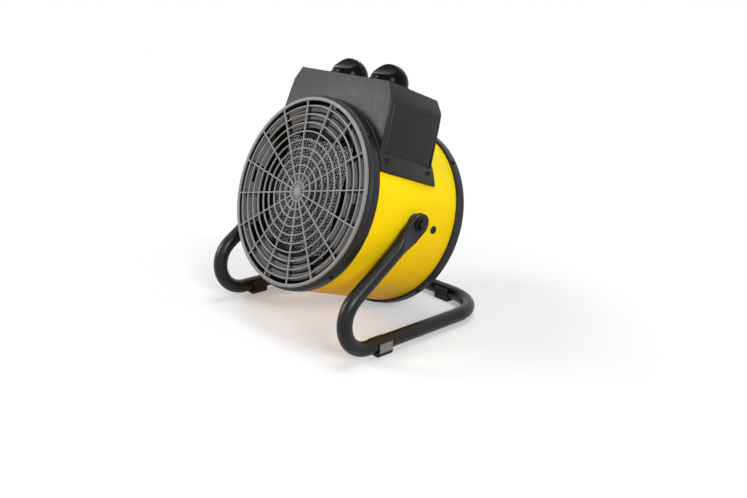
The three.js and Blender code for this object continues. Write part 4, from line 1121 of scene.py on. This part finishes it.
class HEATER_OT_fan(HeaterStep, bpy.types.Operator):
    """Mould the fan, turn the motor and bend its strap"""

    bl_idname = "heater.fan"
    bl_label = "Fan and motor"

    def execute(self, context):
        sizes = context.scene.heater.fan
        self.fan(sizes)
        self.motor(sizes)
        self.strap(sizes)
        return {"FINISHED"}

    def fan(self, sizes):
        """The cup-shaped hub on its boss, and the blades round it."""
        shaft_low, shaft_high = span("motor_shaft")
        radius = sizes.hub_radius
        front = shaft_low.y - 3.3 * MM
        face = front + sizes.hub_face
        rear = span("motor")[0].y - 3 * MM
        bore = shaft_high.x + CLEARANCE
        bottom = shaft_low.y - CLEARANCE
        boss = bore + 3 * MM
        skirt = radius - sizes.hub_wall
        corners = [
            (0, front), (radius, front), (radius, rear), (skirt, rear), (skirt, face), (boss, face),
            (boss, rear), (bore, rear), (bore, bottom), (0, bottom),
        ]
        radii = [0, sizes.hub_rounding, 0.5 * MM, 0.5 * MM, 0, 0, 0, 0, 0, 0]
        piece = Piece("heater_fan")
        piece.add(turned(fillet(corners, radii, 5), MIDDLE_STEPS), "blade_plastic")
        root = radius - 1 * MM
        tip = 0.998 * span("fan")[1].z
        for turn in turns_round(sizes.blades):
            piece.add(self.blade(sizes, root, tip, (front + rear) / 2), "blade_plastic", around(turn))
        piece.finish("fan_rotor", "fan_plastic", ["fan"])

    def blade(self, sizes, root, tip, middle):
        """A twisted, hollowed blade that grows broader towards its tip."""
        root_reach, lead_growth, trail_growth = 9 * MM, 6 * MM, 21 * MM
        tip_start, tip_rounding = 0.8, 7 * MM
        bm = bmesh.new()
        bmesh.ops.create_grid(bm, x_segments=14, y_segments=18, size=1)
        for vert in bm.verts:
            chord = vert.co.x  # -1 at the leading edge, 1 at the trailing one
            climb = (vert.co.y + 1) / 2  # 0 at the root, 1 at the tip
            radius = root + (tip - root) * climb
            leading = -root_reach - lead_growth * math.sin(climb * QUARTER_TURN)
            trailing = root_reach + trail_growth * math.sin(climb * math.pi * 0.62)
            x = leading + (trailing - leading) * (chord + 1) / 2
            corner = max(0.0, climb - tip_start) / (1 - tip_start)
            x -= chord * corner * corner * tip_rounding
            pitch = math.radians(36 - 10 * climb)
            hollow = sizes.camber * (1 - chord * chord) * climb
            reach = math.sqrt(max(radius * radius - x * x, 0.0)) if climb > 0.05 else radius
            vert.co = (x * math.cos(pitch), middle + x * math.sin(pitch) - hollow, reach)
        bmesh.ops.solidify(bm, geom=bm.faces[:], thickness=sizes.blade_wall)
        return soften(tidy(bm), sizes.blade_wall * 0.3, 2, math.radians(60))

    def motor(self, sizes):
        """The can with its crimped ends, and the vents in its rear face, drawn as dark blocks: painted
        shade of open slots.
        """
        low, high = span("motor")
        shaft_high = span("motor_shaft")[1]
        edge = sizes.motor_rounding
        radius = high.x
        end = radius - 1.5 * MM
        boss = 9 * MM
        front = low.y + 4 * MM
        crimp = 8 * MM
        bore = shaft_high.x + CLEARANCE
        bottom = shaft_high.y + CLEARANCE
        corners = [
            (0, bottom), (bore, bottom), (bore, low.y), (boss, low.y), (boss, front), (end, front),
            (end, front + crimp), (radius, front + crimp), (radius, high.y - crimp),
            (end, high.y - crimp), (end, high.y), (0, high.y),
        ]
        radii = [0, 0, 0, 0.6 * MM, 1 * MM, edge, 0.3 * MM, 0.6 * MM, 0.6 * MM, 0.3 * MM, edge, 0]
        piece = Piece("heater_motor")
        piece.add(turned(fillet(corners, radii), MIDDLE_STEPS), "galvanised_sheet")
        # Each vent is a near-black block standing a hair proud of the rear face: painted shade for an open
        # slot.
        half_vent = 1.6 * MM
        for turn in turns_round(sizes.vent_count, math.pi / sizes.vent_count):
            vent = block(
                (-half_vent, high.y - 1 * MM, 13 * MM), (half_vent, high.y + 0.12 * MM, 23 * MM)
            )
            piece.add(soften(vent, 0.1 * MM, 1), "blade_plastic", around(turn))
        piece.finish("housing", "galvanised_steel", ["motor"])

    def strap(self, sizes):
        """The strip across the drum that the motor is screwed to, bent rearwards at its ends."""
        low, high = span("motor_strap")
        wall, bend, reach = sizes.strap_wall, sizes.strap_bend, high.x
        path = fillet(
            [
                (-reach, high.y), (-reach, low.y), (reach, low.y), (reach, high.y),
                (reach - wall, high.y), (reach - wall, low.y + wall), (-reach + wall, low.y + wall),
                (-reach + wall, high.y),
            ],
            [0.5 * MM, bend, bend, 0.5 * MM, 0.5 * MM, bend - wall, bend - wall, 0.5 * MM],
        )
        strip = prism([(x, y, -high.z) for x, y in path], (0, 0, 2 * high.z))
        piece = Piece("heater_motor_strap")
        piece.add(soften(strip, 0.3 * MM, 2, math.radians(50)), "galvanised_sheet")
        piece.finish("housing", "galvanised_steel", ["motor_strap"])


class HEATER_OT_control_box(HeaterStep, bpy.types.Operator):
    """Form the control box and its saddle over the drum"""

    bl_idname = "heater.control_box"
    bl_label = "Control box"

    def execute(self, context):
        sizes = context.scene.heater.box
        low, high = span("control_box")
        shell = span("drum_shell")[1].x
        seat = shell + CLEARANCE
        piece = Piece("heater_control_box")
        piece.add(self.cover(sizes, low, high, shell, seat), "casing_plastic")
        piece.add(self.saddle(sizes, low, high, seat), "casing_plastic")
        piece.finish("housing", "black_plastic", ["control_box"], math.radians(40))
        return {"FINISHED"}

    def cover(self, sizes, low, high, shell, seat):
        """The hollow box, open towards the drum."""
        front = low.y + sizes.front_margin
        rear = high.y - sizes.rear_margin
        bm = carried(self.outline(sizes, high.z, shell, seat), front, rear)
        slant = Vector((0, sizes.rear_chamfer_drop, sizes.rear_chamfer)).normalized()
        cut = bmesh.ops.bisect_plane(
            bm, geom=bm.verts[:] + bm.edges[:] + bm.faces[:], dist=SAME_PLACE,
            plane_co=(0, rear - sizes.rear_chamfer, high.z), plane_no=slant, clear_outer=True,
        )
        rim = [edge for edge in cut["geom_cut"] if isinstance(edge, bmesh.types.BMEdge)]
        bmesh.ops.edgeloop_fill(bm, edges=rim)
        sides = [face for face in bm.faces if abs(face.normal.x) > 0.9 and face.calc_center_median().z > 0]
        for side in (1, -1):
            self.groove(bm, sizes, [face for face in sides if face.normal.x * side > 0])
        underside = [
            face for face in bm.faces
            if all(abs(math.hypot(v.co.x, v.co.z) - seat) < 0.1 * MM for v in face.verts)
        ]
        bmesh.ops.delete(bm, geom=underside, context="FACES")
        bmesh.ops.recalc_face_normals(bm, faces=bm.faces)
        self.round_edges(bm, sizes, front)
        bmesh.ops.solidify(bm, geom=bm.faces[:], thickness=sizes.wall)
        return bm

    def outline(self, sizes, top, shell, seat):
        """The box from the front, as (x, z) points: its walls, and the drum's arc below."""
        foot = Vector((shell - sizes.foot_inset, shell - sizes.foot_drop))
        waist = Vector((shell - sizes.waist_inset, shell + sizes.waist_rise))
        slope = (waist.x - foot.x) / (waist.y - foot.y)
        height = foot.y
        while math.hypot(foot.x + slope * (height - foot.y), height) < seat:
            height += 0.05 * MM
        start = Vector((foot.x + slope * (height - foot.y), height))
        shoulder = (shell - sizes.shoulder_inset, shell + sizes.shoulder_rise)
        right = [tuple(start), tuple(waist), shoulder, (shell - sizes.top_inset, top)]
        left = [(-x, z) for x, z in reversed(right)]
        reach = math.atan2(start.x, start.y)
        turns = [reach * (2 * k / FEWER_STEPS - 1) for k in range(1, FEWER_STEPS)]
        return right + left + [(seat * math.sin(turn), seat * math.cos(turn)) for turn in turns]

    def round_edges(self, bm, sizes, front):
        """Rounds the upright front corners well, and then all other edges a little."""
        corner = sizes.corner_rounding
        upright_reach = 15 * MM  # how far an upright front corner may lean across

        def leans(edge):
            return abs(edge.verts[0].co.x - edge.verts[1].co.x)

        def front_corner(edge):
            return all(abs(v.co.y - front) < SAME_PLACE for v in edge.verts) and leans(edge) < upright_reach

        def other(edge):
            return leans(edge) > upright_reach or any(v.co.y >= front + corner * 1.01 for v in edge.verts)

        soften(bm, corner, 5, chosen=front_corner)
        soften(bm, sizes.edge_rounding, 3, math.radians(20), other)

    def groove(self, bm, sizes, panel):
        """Presses a shallow groove round a side panel."""
        for thickness, depth in (
            (sizes.panel_margin, 0), (sizes.groove_width / 2, -sizes.groove_depth),
            (sizes.groove_width / 2, sizes.groove_depth),
        ):
            bmesh.ops.inset_region(
                bm, faces=panel, thickness=thickness, depth=depth, use_boundary=True, use_even_offset=True
            )

    def saddle(self, sizes, low, high, seat):
        """The sheet that lies over the drum and carries the box."""
        reach = sizes.saddle_angle
        sheet = band((seat, seat + sizes.saddle_wall), (low.y, high.y), -reach, 2 * reach)
        return soften(sheet, 0.8 * MM, 3, math.radians(50))


class HEATER_OT_knobs(HeaterStep, bpy.types.Operator):
    """Shape the two domed knobs"""

    bl_idname = "heater.knobs"
    bl_label = "Knobs"

    def execute(self, context):
        sizes = context.scene.heater.knob
        for node, body in (("selector_knob", "selector"), ("thermostat_knob", "thermostat_control")):
            low, high = span(node)
            middle = Vector(((low.x + high.x) / 2, (low.y + high.y) / 2, low.z))
            piece = Piece(f"heater_{node}")
            piece.add(self.dome(sizes, (high.x - low.x) / 2, high.z - low.z), "knob_gloss", upright(middle))
            piece.add(self.pointer(sizes, high.z - low.z), "mark_paint", upright(middle))
            piece.finish(body, "knob_plastic", [node], math.radians(40))
        return {"FINISHED"}

    def dome(self, sizes, base_radius, height):
        """A dome on a base ring, its sides scooped in front and behind. Its axis is Y."""
        base = sizes.base_height
        steps = 40
        profile = fillet(
            [(0, 0), (base_radius, 0), (base_radius, base), (sizes.dome_radius, base)],
            [0, 0.6 * MM, 1 * MM, 0],
        )
        for k in range(1, steps + 1):
            climb = k / steps * QUARTER_TURN
            out = sizes.dome_radius * math.cos(climb) if k < steps else 0
            profile.append((out, base + (height - base) * math.sin(climb)))
        bm = turned(profile)
        for vert in bm.verts:
            lift = vert.co.y
            into = abs(vert.co.z) - sizes.grip_width / 2 - sizes.scoop_radius
            if lift > base + SAME_PLACE and abs(into) < sizes.scoop_radius:
                drop = math.sqrt(sizes.scoop_radius ** 2 - into ** 2)
                limit = sizes.scoop_floor + sizes.scoop_radius - drop
                vert.co.y = soft_minimum(lift, limit, sizes.softness)
        return bm

    def pointer(self, sizes, height):
        """A pale line on top of the grip, towards the rim."""
        half = sizes.pointer_width / 2
        bm = block((4 * MM, height - 4 * MM, -half), (12 * MM, height - 1.2 * MM, half))
        return soften(bm, 0.3 * MM, 2)


def soft_minimum(first, second, softness):
    """The lesser of two lengths, rounded off where they are close."""
    near = max(softness - abs(first - second), 0) / softness
    return min(first, second) - near * near * softness / 4


class HEATER_OT_screws(HeaterStep, bpy.types.Operator):
    """Set the cross-head screws round the rings, the saddle and the box"""

    bl_idname = "heater.screws"
    bl_label = "Screws"

    def execute(self, context):
        sizes = context.scene.heater.screw
        for name in sorted(name for name in frame["nodes"] if "screw" in name):
            low, high = span(name)
            middle = (low + high) / 2
            if name.startswith("lid"):
                place = upright(Vector((middle.x, middle.y, low.z + sizes.length)))
            else:
                turn = math.atan2(middle.x, middle.z)
                reach = math.hypot(middle.x, middle.z) + (sizes.length - sizes.head_height) / 2
                place = outwards(turn, reach, middle.y)
            piece = Piece(f"heater_{name}")
            piece.add(self.screw(sizes), "dark_bolt", place)
            # The strap screws get a black washer: partly a real washer, partly painted shade for the dark
            # ring round the screw.
            if name.startswith("strap"):
                piece.add(self.washer(sizes), "black_coat", place)
            piece.finish("housing", "dark_steel", [name])
        return {"FINISHED"}

    def screw(self, sizes):
        """A pan-head screw along Y with its seat at zero and a cross in its head."""
        radius, top = sizes.head_radius, sizes.head_height
        side = top / 2  # height of the head's upright side
        bm = bmesh.new()
        bmesh.ops.create_grid(bm, x_segments=12, y_segments=12, size=1)
        for vert in bm.verts:
            x, y = vert.co.x, vert.co.y
            flat = Vector((x * math.sqrt(1 - y * y / 2), y * math.sqrt(1 - x * x / 2)))
            vert.co = (flat.x * radius, top - (top - side) * flat.length ** 4, flat.y * radius)
        outer = [edge for edge in bm.edges if edge.is_boundary]
        cross = [face for face in bm.faces if self.in_cross(face.calc_center_median(), sizes)]
        bmesh.ops.inset_region(
            bm, faces=cross, thickness=0.08 * sizes.recess_width, depth=0, use_even_offset=True
        )
        bmesh.ops.translate(
            bm, vec=(0, -sizes.recess_depth, 0), verts=list({v for face in cross for v in face.verts})
        )
        for rim, lift in ((radius, 0.0), (sizes.shank_radius, 0.0), (sizes.shank_radius, -sizes.length)):
            moved = bmesh.ops.extrude_edge_only(bm, edges=outer)["geom"]
            outer = [element for element in moved if isinstance(element, bmesh.types.BMEdge)]
            for vert in new_verts(moved):
                out = Vector((vert.co.x, 0, vert.co.z)).normalized() * rim
                vert.co = (out.x, lift, out.z)
        bmesh.ops.holes_fill(bm, edges=outer, sides=0)
        return tidy(bm)

    def washer(self, sizes):
        """A dished washer round a head."""
        inner, outer = 0.98 * sizes.head_radius, 1.6 * sizes.head_radius
        corners = [(inner, 0), (outer, 0), (outer, 0.5 * MM), (inner, 1.0 * MM)]
        return turned(fillet(corners, [0, 0.2 * MM, 0.3 * MM, 0.1 * MM]), SMALL_STEPS)

    def in_cross(self, point, sizes):
        arm = sizes.recess_width / 2
        inside = math.hypot(point.x, point.z) < 0.7 * sizes.head_radius
        return inside and (abs(point.x) < arm or abs(point.z) < arm)


class HEATER_OT_stand(HeaterStep, bpy.types.Operator):
    """Bend the stand from one tube with flattened ends"""

    bl_idname = "heater.stand"
    bl_label = "Stand"

    def execute(self, context):
        sizes = context.scene.heater.stand
        piece = Piece("heater_stand_tube", Matrix())
        line, leg = stand_line(sizes)
        bm = swept(circle(sizes.tube_radius, 32), stations_along(line))
        self.flatten(bm, sizes, leg)
        piece.add(bm, "black_coat")
        piece.finish("stand", "black_paint", ["stand_tube"], math.radians(50))
        return {"FINISHED"}

    def flatten(self, bm, sizes, leg):
        """Presses the tube's two ends flat and rounds them off."""
        across = Vector((0, -leg.z, leg.y))
        middle = stand_half_width(sizes)
        for vert in bm.verts:
            side = math.copysign(1, vert.co.x)
            from_pivot = Vector((0, vert.co.y - pivot.y, vert.co.z - pivot.z))
            down = -from_pivot.dot(leg)
            if down > sizes.eye_half_width + sizes.eye_taper or vert.co.z < 2 * sizes.front_bend:
                continue
            roundness = max(0.0, (down - sizes.eye_half_width) / sizes.eye_taper)
            roundness = roundness * roundness * (3 - 2 * roundness)
            thickness = sizes.eye_thickness / 2 + (sizes.tube_radius - sizes.eye_thickness / 2) * roundness
            width = sizes.eye_half_width + (sizes.tube_radius - sizes.eye_half_width) * roundness
            if down < 0:
                width = math.sqrt(max(sizes.eye_half_width ** 2 - down ** 2, 0))
            outward = side * vert.co.x - middle
            pressed = max(-thickness, min(thickness, outward))
            offset = from_pivot.dot(across)
            vert.co += across * (offset * (width / sizes.tube_radius - 1))
            vert.co.x = side * (middle + pressed)
        bmesh.ops.recalc_face_normals(bm, faces=bm.faces)


def stand_half_width(sizes):
    """From the middle of the heater to the middle of a leg."""
    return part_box("stand_tube")[1].x - sizes.tube_radius


def stand_line(sizes):
    """The tube's middle line from the right eye to the left one, and a leg's direction."""
    low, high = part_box("stand_tube")
    half_width = stand_half_width(sizes)
    front_bend, rear_corner = sizes.front_bend, sizes.rear_corner
    inset = sizes.tube_radius + front_bend
    bend = Vector((0, low.y + inset, low.z + inset))
    reach = (pivot - bend).length
    leg_start = math.atan2(pivot.z - bend.z, pivot.y - bend.y) + math.acos(front_bend / reach)
    leg = Vector((0, math.sin(leg_start), -math.cos(leg_start)))
    leg_length = math.sqrt(reach ** 2 - front_bend ** 2)
    eye_steps, leg_steps, corner_steps = 14, 40, 28
    half = []
    for k in range(eye_steps):
        half.append(pivot + leg * sizes.eye_half_width * 0.998 * math.cos(k / eye_steps * QUARTER_TURN))
    for k in range(leg_steps):
        half.append(pivot - leg * leg_length * k / leg_steps)
    for k in range(leg_steps + 1):
        turn = leg_start + (3 * QUARTER_TURN - leg_start) * k / leg_steps
        half.append(bend + front_bend * Vector((0, math.cos(turn), math.sin(turn))))
    crossbar = high.y - sizes.tube_radius
    corner = Vector((half_width - rear_corner, crossbar - rear_corner, half[-1].z))
    right = [Vector((half_width, point.y, point.z)) for point in half]
    for k in range(corner_steps + 1):
        turn = k / corner_steps * QUARTER_TURN
        right.append(corner + rear_corner * Vector((math.cos(turn), math.sin(turn), 0)))
    left = [Vector((-point.x, point.y, point.z)) for point in reversed(right)]
    return right + left, leg


def stations_along(line):
    """A matrix at each point of a line, square to it and without twist."""
    tangents = []
    for i, point in enumerate(line):
        before = line[max(i - 1, 0)]
        after = line[min(i + 1, len(line) - 1)]
        tangents.append(((point - before).normalized() + (after - point).normalized()).normalized())
    side = Vector((1, 0, 0))
    stations = []
    for i, (point, tangent) in enumerate(zip(line, tangents)):
        if i:
            side = tangents[i - 1].rotation_difference(tangent) @ side
        up = tangent.cross(side).normalized()
        side = up.cross(tangent).normalized()
        matrix = Matrix((side, up, tangent)).transposed().to_4x4()
        matrix.translation = point
        stations.append(matrix)
    return stations


class HEATER_OT_feet(HeaterStep, bpy.types.Operator):
    """Mould the four rubber feet that clip under the tube"""

    bl_idname = "heater.feet"
    bl_label = "Feet"

    def execute(self, context):
        sizes = context.scene.heater.stand
        for hand, side in SIDES:
            self.foot(sizes, f"front_foot_{hand}", side)
            self.foot(sizes, f"rear_foot_{hand}", 0)
        return {"FINISHED"}

    def foot(self, sizes, node, flank):
        """A clip whose tube runs along Y, or along X for a rear foot, which has no pale flank."""
        low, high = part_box(node)
        along_y = flank != 0
        length = high.y - low.y if along_y else high.x - low.x
        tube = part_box("stand_tube")[0].z + sizes.tube_radius
        bore = sizes.tube_radius + sizes.fit
        half = bore + sizes.foot_wall - (sizes.pad_rise if along_y else 0)
        sole = sizes.sole_width / 2
        ear = sizes.foot_ear
        ear_angle = math.asin(ear / bore)
        arc_steps = 24
        outline = []
        for k in range(arc_steps + 1):
            turn = math.pi - ear_angle + k / arc_steps * (math.pi + 2 * ear_angle)
            outline.append((bore * math.cos(turn), bore * math.sin(turn)))
        corner = sizes.foot_rounding - tube
        outline.append((half, ear))
        outline += self.corner((half, corner), (half, -tube), (sole, -tube))
        outline += self.corner((-sole, -tube), (-half, -tube), (-half, corner))
        outline.append((-half, ear))
        bm = carried(outline, -length / 2, length / 2)
        soften(bm, sizes.foot_edge, 2, math.radians(45))
        middle = (low + high) / 2
        place = Matrix.Translation((middle.x, middle.y, low.z + tube))
        if not along_y:
            place = place @ Matrix.Rotation(QUARTER_TURN, 4, "Z")
        piece = Piece(f"heater_{node}", Matrix())
        piece.add(bm, "clip_rubber", place)
        # Painted reflection: a pale pad on the outer flank of each front foot, for the sheen of a flank
        # that reflects the bright floor.
        if along_y:
            pad_end = length / 2 - 1.2 * MM
            pad = block(
                (half - 0.3 * MM, -pad_end, corner + 0.4 * MM),
                (half + sizes.pad_rise, pad_end, ear - 1 * MM),
            )
            if flank < 0:
                place = place @ Matrix.Rotation(math.pi, 4, "Z")
            piece.add(soften(pad, 0.15 * MM, 1), "worn_flank", place)
        piece.finish("stand", "foot_rubber", [node])

    def corner(self, start, control, end):
        """A round corner that starts and ends in line with the sides it joins."""
        points = []
        steps = 8
        for k in range(steps + 1):
            t = k / steps
            weights = ((1 - t) ** 2, 2 * t * (1 - t), t * t)
            nearby = (start, control, end)
            points.append(tuple(sum(w * p[i] for w, p in zip(weights, nearby)) for i in (0, 1)))
        return points


class HEATER_OT_pivots(HeaterStep, bpy.types.Operator):
    """Make the bolts, spacers and nuts that the drum tilts on"""

    bl_idname = "heater.pivots"
    bl_label = "Pivots"

    def execute(self, context):
        middle = DRUM.inverted() @ pivot
        for hand, side in SIDES:
            place = sideways(side, (0, middle.y, middle.z))
            for shape in (self.bolt, self.spacer, self.nut):
                shape(hand, side, place)
        return {"FINISHED"}

    def across(self, node, side):
        """Where a node starts and ends out from the middle, on its own side."""
        low, high = span(node)
        return sorted((side * low.x, side * high.x))

    def bolt(self, hand, side, place):
        """A hexagon bolt with a washer on its head."""
        node = f"pivot_bolt_{hand}"
        inner, outer = self.across(node, side)
        washer_radius, hexagon_radius, shank = 8 * MM, 6.2 * MM, 4 * MM
        seat = outer - 5 * MM
        rim = seat + 1.2 * MM
        piece = Piece(f"heater_{node}")
        piece.add(rod(shank, inner, seat + OVERLAP, SMALL_STEPS, 0.6 * MM), "dark_bolt", place)
        washer = [(0, seat), (washer_radius, seat), (washer_radius, rim), (0, rim)]
        piece.add(turned(fillet(washer, [0, 0.3 * MM, 0.5 * MM, 0]), FEWER_STEPS), "dark_bolt", place)
        head = carried(circle(hexagon_radius, 6), seat + 1 * MM, outer)
        piece.add(soften(head, 0.5 * MM, 2), "dark_bolt", place)
        piece.finish("housing", "dark_steel", [node])

    def spacer(self, hand, side, place):
        """A rubber ring between the drum and the stand's eye."""
        node = f"pivot_spacer_{hand}"
        inner, outer = self.across(node, side)
        bore, radius = 4.3 * MM, 11 * MM
        corners = [(bore, inner), (radius, inner), (radius, outer), (bore, outer)]
        piece = Piece(f"heater_{node}")
        body = turned(fillet(corners, [0.3 * MM, 0.8 * MM, 0.8 * MM, 0.3 * MM]), FEWER_STEPS)
        piece.add(body, "clip_rubber", place)
        piece.finish("housing", "foot_rubber", [node])

    def nut(self, hand, side, place):
        """A hexagon nut inside the drum."""
        node = f"pivot_nut_{hand}"
        inner, outer = self.across(node, side)
        piece = Piece(f"heater_{node}")
        piece.add(pierced(circle(8 * MM, 6), circle(4.3 * MM), inner, outer), "zinc_plate", place)
        piece.finish("housing", "zinc_steel", [node])


class HEATER_OT_gland(HeaterStep, bpy.types.Operator):
    """Turn the cable gland at the rear of the box"""

    bl_idname = "heater.gland"
    bl_label = "Cable gland"

    def execute(self, context):
        low, high = span("cable_gland")
        seat = span("control_box")[1].y - context.scene.heater.box.rear_margin + CLEARANCE
        thread, hexagon, dome, bore = 6.5 * MM, 9.5 * MM, 7.8 * MM, 3.7 * MM
        step = seat + 4.5 * MM
        corners = [
            (bore, low.y), (thread, low.y), (thread, step), (dome, step),
            (dome, high.y - 4 * MM), (bore + 1.5 * MM, high.y), (bore, high.y),
        ]
        radii = [0.3 * MM, 0.5 * MM, 0, 0.4 * MM, 3 * MM, 0.5 * MM, 0.4 * MM]
        place = Matrix.Translation(((low.x + high.x) / 2, 0, (low.z + high.z) / 2))
        piece = Piece("heater_cable_gland")
        piece.add(turned(fillet(corners, radii, 4), FEWER_STEPS), "casing_plastic", place)
        flange = carried(circle(hexagon, 6), seat, step)
        piece.add(soften(flange, 0.5 * MM, 2), "casing_plastic", place)
        half_rib = 0.5 * MM
        for turn in turns_round(16):
            rib = block(
                (-half_rib, step, dome - 0.4 * MM), (half_rib, high.y - 4.5 * MM, dome + half_rib)
            )
            piece.add(soften(rib, 0.2 * MM, 1), "casing_plastic", place @ around(turn))
        piece.finish("housing", "black_plastic", ["cable_gland"])
        return {"FINISHED"}


class HEATER_OT_inner_finishes(HeaterStep, bpy.types.Operator):
    """Give the plain inner parts their own finishes"""

    bl_idname = "heater.inner_finishes"
    bl_label = "Inner finishes"

    def execute(self, context):
        finishes = {
            "selector_switch": "ivory_plastic", "terminal_block": "ivory_plastic",
            "thermostat": "zinc_plate", "selector_stem": "zinc_plate", "thermostat_stem": "zinc_plate",
            "motor_shaft": "zinc_plate", "gland_nut": "zinc_plate",
        }
        for node, finish in finishes.items():
            for slot in frame["nodes"][node].material_slots:
                slot.material = finish_of(finish)
        return {"FINISHED"}


# ---------------------------------------------------------------- stage

LAMPS = (  # name and power setting, place, what it points at, width
    ("key", (-1.6, -1.75, 1.15), (0, 0, 0.17), 1.0),
    ("fill", (2.1, -0.8, 1.35), (0, 0, 0.12), 1.1),
    ("top", (0.1, 0.2, 2.3), (0, 0, 0.1), 1.1),
)
CAMERA_PLACE = (0.69016, -0.62802, 0.39111)
CAMERA_BEARING = math.radians(46.2447)
CAMERA_HEIGHT = math.radians(18.5733)
CAMERA_ROLL = math.radians(2.3326)
CAMERA_LENS = 38.823
FLOOR_REACH = 40


class HEATER_OT_stage(HeaterStep, bpy.types.Operator):
    """Lay the floor, hang the lamps and place the camera"""

    bl_idname = "heater.stage"
    bl_label = "Floor, light and camera"

    def execute(self, context):
        settings = context.scene.heater.stage
        context.scene.view_settings.view_transform = "Standard"
        self.floor(settings)
        self.sky(context, settings)
        for name, place, target, width in LAMPS:
            self.lamp(f"{name}_lamp", place, target, width, getattr(settings, f"{name}_power"))
        self.camera(context)
        return {"FINISHED"}

    def seen_directly(self, recipe):
        """1 for rays from the camera, or from gloss or glass, and 0 for light that falls on things."""
        rays = recipe.tree.nodes.new("ShaderNodeLightPath")
        camera, glossy, through = (
            Field(recipe, rays.outputs[name])
            for name in ("Is Camera Ray", "Is Glossy Ray", "Is Transmission Ray")
        )
        return camera + glossy + through

    def floor(self, settings):
        """A wide sheet of paper that turns plain white away from the heater."""
        bm = bmesh.new()
        bmesh.ops.create_grid(bm, x_segments=2, y_segments=2, size=FLOOR_REACH)
        mesh = mesh_of(bm, "floor")
        floor = put_in_scene("floor", mesh)
        recipe = Recipe("floor_paper")
        grain = recipe.noise(scale=180, detail=3)
        seen = self.seen_directly(recipe)
        bounce, pale = rgba(settings.floor_bounce), rgba(settings.floor_colour)
        speckled = recipe.blend(recipe.ramp(grain, 0.3, 0.7), rgba(settings.floor_colour, 0.985), pale)
        recipe.fill(recipe.shader, {
            "Base Color": recipe.blend(seen, bounce, speckled),
            "Roughness": 0.9,
            "Specular IOR Level": 0.1,
            "Normal": recipe.bump(grain, 0.00005),
        })
        distance = recipe.node(
            "ShaderNodeVectorMath", {"operation": "LENGTH"}, {0: recipe.place}, output="Value"
        )
        far = recipe.ramp(distance, settings.white_start, settings.white_end, settings.near_white)
        white = recipe.tree.nodes.new("ShaderNodeEmission")
        mix = recipe.tree.nodes.new("ShaderNodeMixShader")
        links = recipe.tree.links
        links.new((far * seen).socket, mix.inputs[0])
        links.new(recipe.shader.outputs[0], mix.inputs[1])
        links.new(white.outputs[0], mix.inputs[2])
        links.new(mix.outputs[0], recipe.tree.nodes["Material Output"].inputs["Surface"])
        mesh.materials.append(recipe.material)

    def sky(self, context, settings):
        """Even light from all round, which is plain white where it is seen."""
        world = bpy.data.worlds.new("studio")
        context.scene.world = world
        world.use_nodes = True
        recipe = Recipe("studio", world.node_tree)
        background = world.node_tree.nodes["Background"]
        strength = settings.sky + (1 - settings.sky) * self.seen_directly(recipe)
        recipe.fill(background, {"Color": (1, 1, 1, 1), "Strength": strength})

    def lamp(self, name, place, target, width, watts):
        """A soft round lamp that points at a place."""
        light = bpy.data.lights.new(name, "AREA")
        light.shape = "DISK"
        light.size = width
        light.energy = watts
        lamp = put_in_scene(name, light)
        lamp.location = place
        lamp.rotation_euler = (Vector(target) - Vector(place)).to_track_quat("-Z", "Y").to_euler()

    def camera(self, context):
        """The photograph's view."""
        data = bpy.data.cameras.new("camera")
        data.lens = CAMERA_LENS
        data.clip_start = 0.01
        data.clip_end = 200
        camera = put_in_scene("camera", data)
        camera.location = CAMERA_PLACE
        bearing = Matrix.Rotation(CAMERA_BEARING, 4, "Z")
        height = Matrix.Rotation(QUARTER_TURN - CAMERA_HEIGHT, 4, "X")
        roll = Matrix.Rotation(CAMERA_ROLL, 4, "Z")
        camera.rotation_euler = (bearing @ height @ roll).to_euler()
        context.scene.camera = camera


# ---------------------------------------------------------------- add-on

STEPS = (
    HEATER_OT_drum_shell, HEATER_OT_end_rings, HEATER_OT_front_grille, HEATER_OT_rear_guard,
    HEATER_OT_guide_plate, HEATER_OT_element, HEATER_OT_fan, HEATER_OT_control_box,
    HEATER_OT_knobs, HEATER_OT_screws, HEATER_OT_stand, HEATER_OT_feet, HEATER_OT_pivots,
    HEATER_OT_gland, HEATER_OT_inner_finishes, HEATER_OT_stage,
)


class HEATER_PT_pieces(bpy.types.Panel):
    """The steps that build the heater"""

    bl_idname = "HEATER_PT_pieces"
    bl_label = "Heater"
    bl_space_type = "VIEW_3D"
    bl_region_type = "UI"
    bl_category = "Heater"

    def draw(self, context):
        for step in STEPS:
            self.layout.operator(step.bl_idname)


CLASSES = (
    HeaterDrumSizes, HeaterGrilleSizes, HeaterGuideSizes, HeaterElementSizes, HeaterFanSizes,
    HeaterBoxSizes, HeaterKnobSizes, HeaterStandSizes, HeaterScrewSizes, HeaterColours,
    HeaterStageSettings, HeaterSettings, *STEPS, HEATER_PT_pieces,
)


def register():
    for item in CLASSES:
        bpy.utils.register_class(item)
    bpy.types.Scene.heater = bpy.props.PointerProperty(type=HeaterSettings)


def unregister():
    del bpy.types.Scene.heater
    for item in reversed(CLASSES):
        bpy.utils.unregister_class(item)


def main():
    """Builds every piece."""
    register()
    for step in STEPS:
        group, name = step.bl_idname.split(".")
        getattr(getattr(bpy.ops, group), name)()


if __name__ == "__main__":
    main()
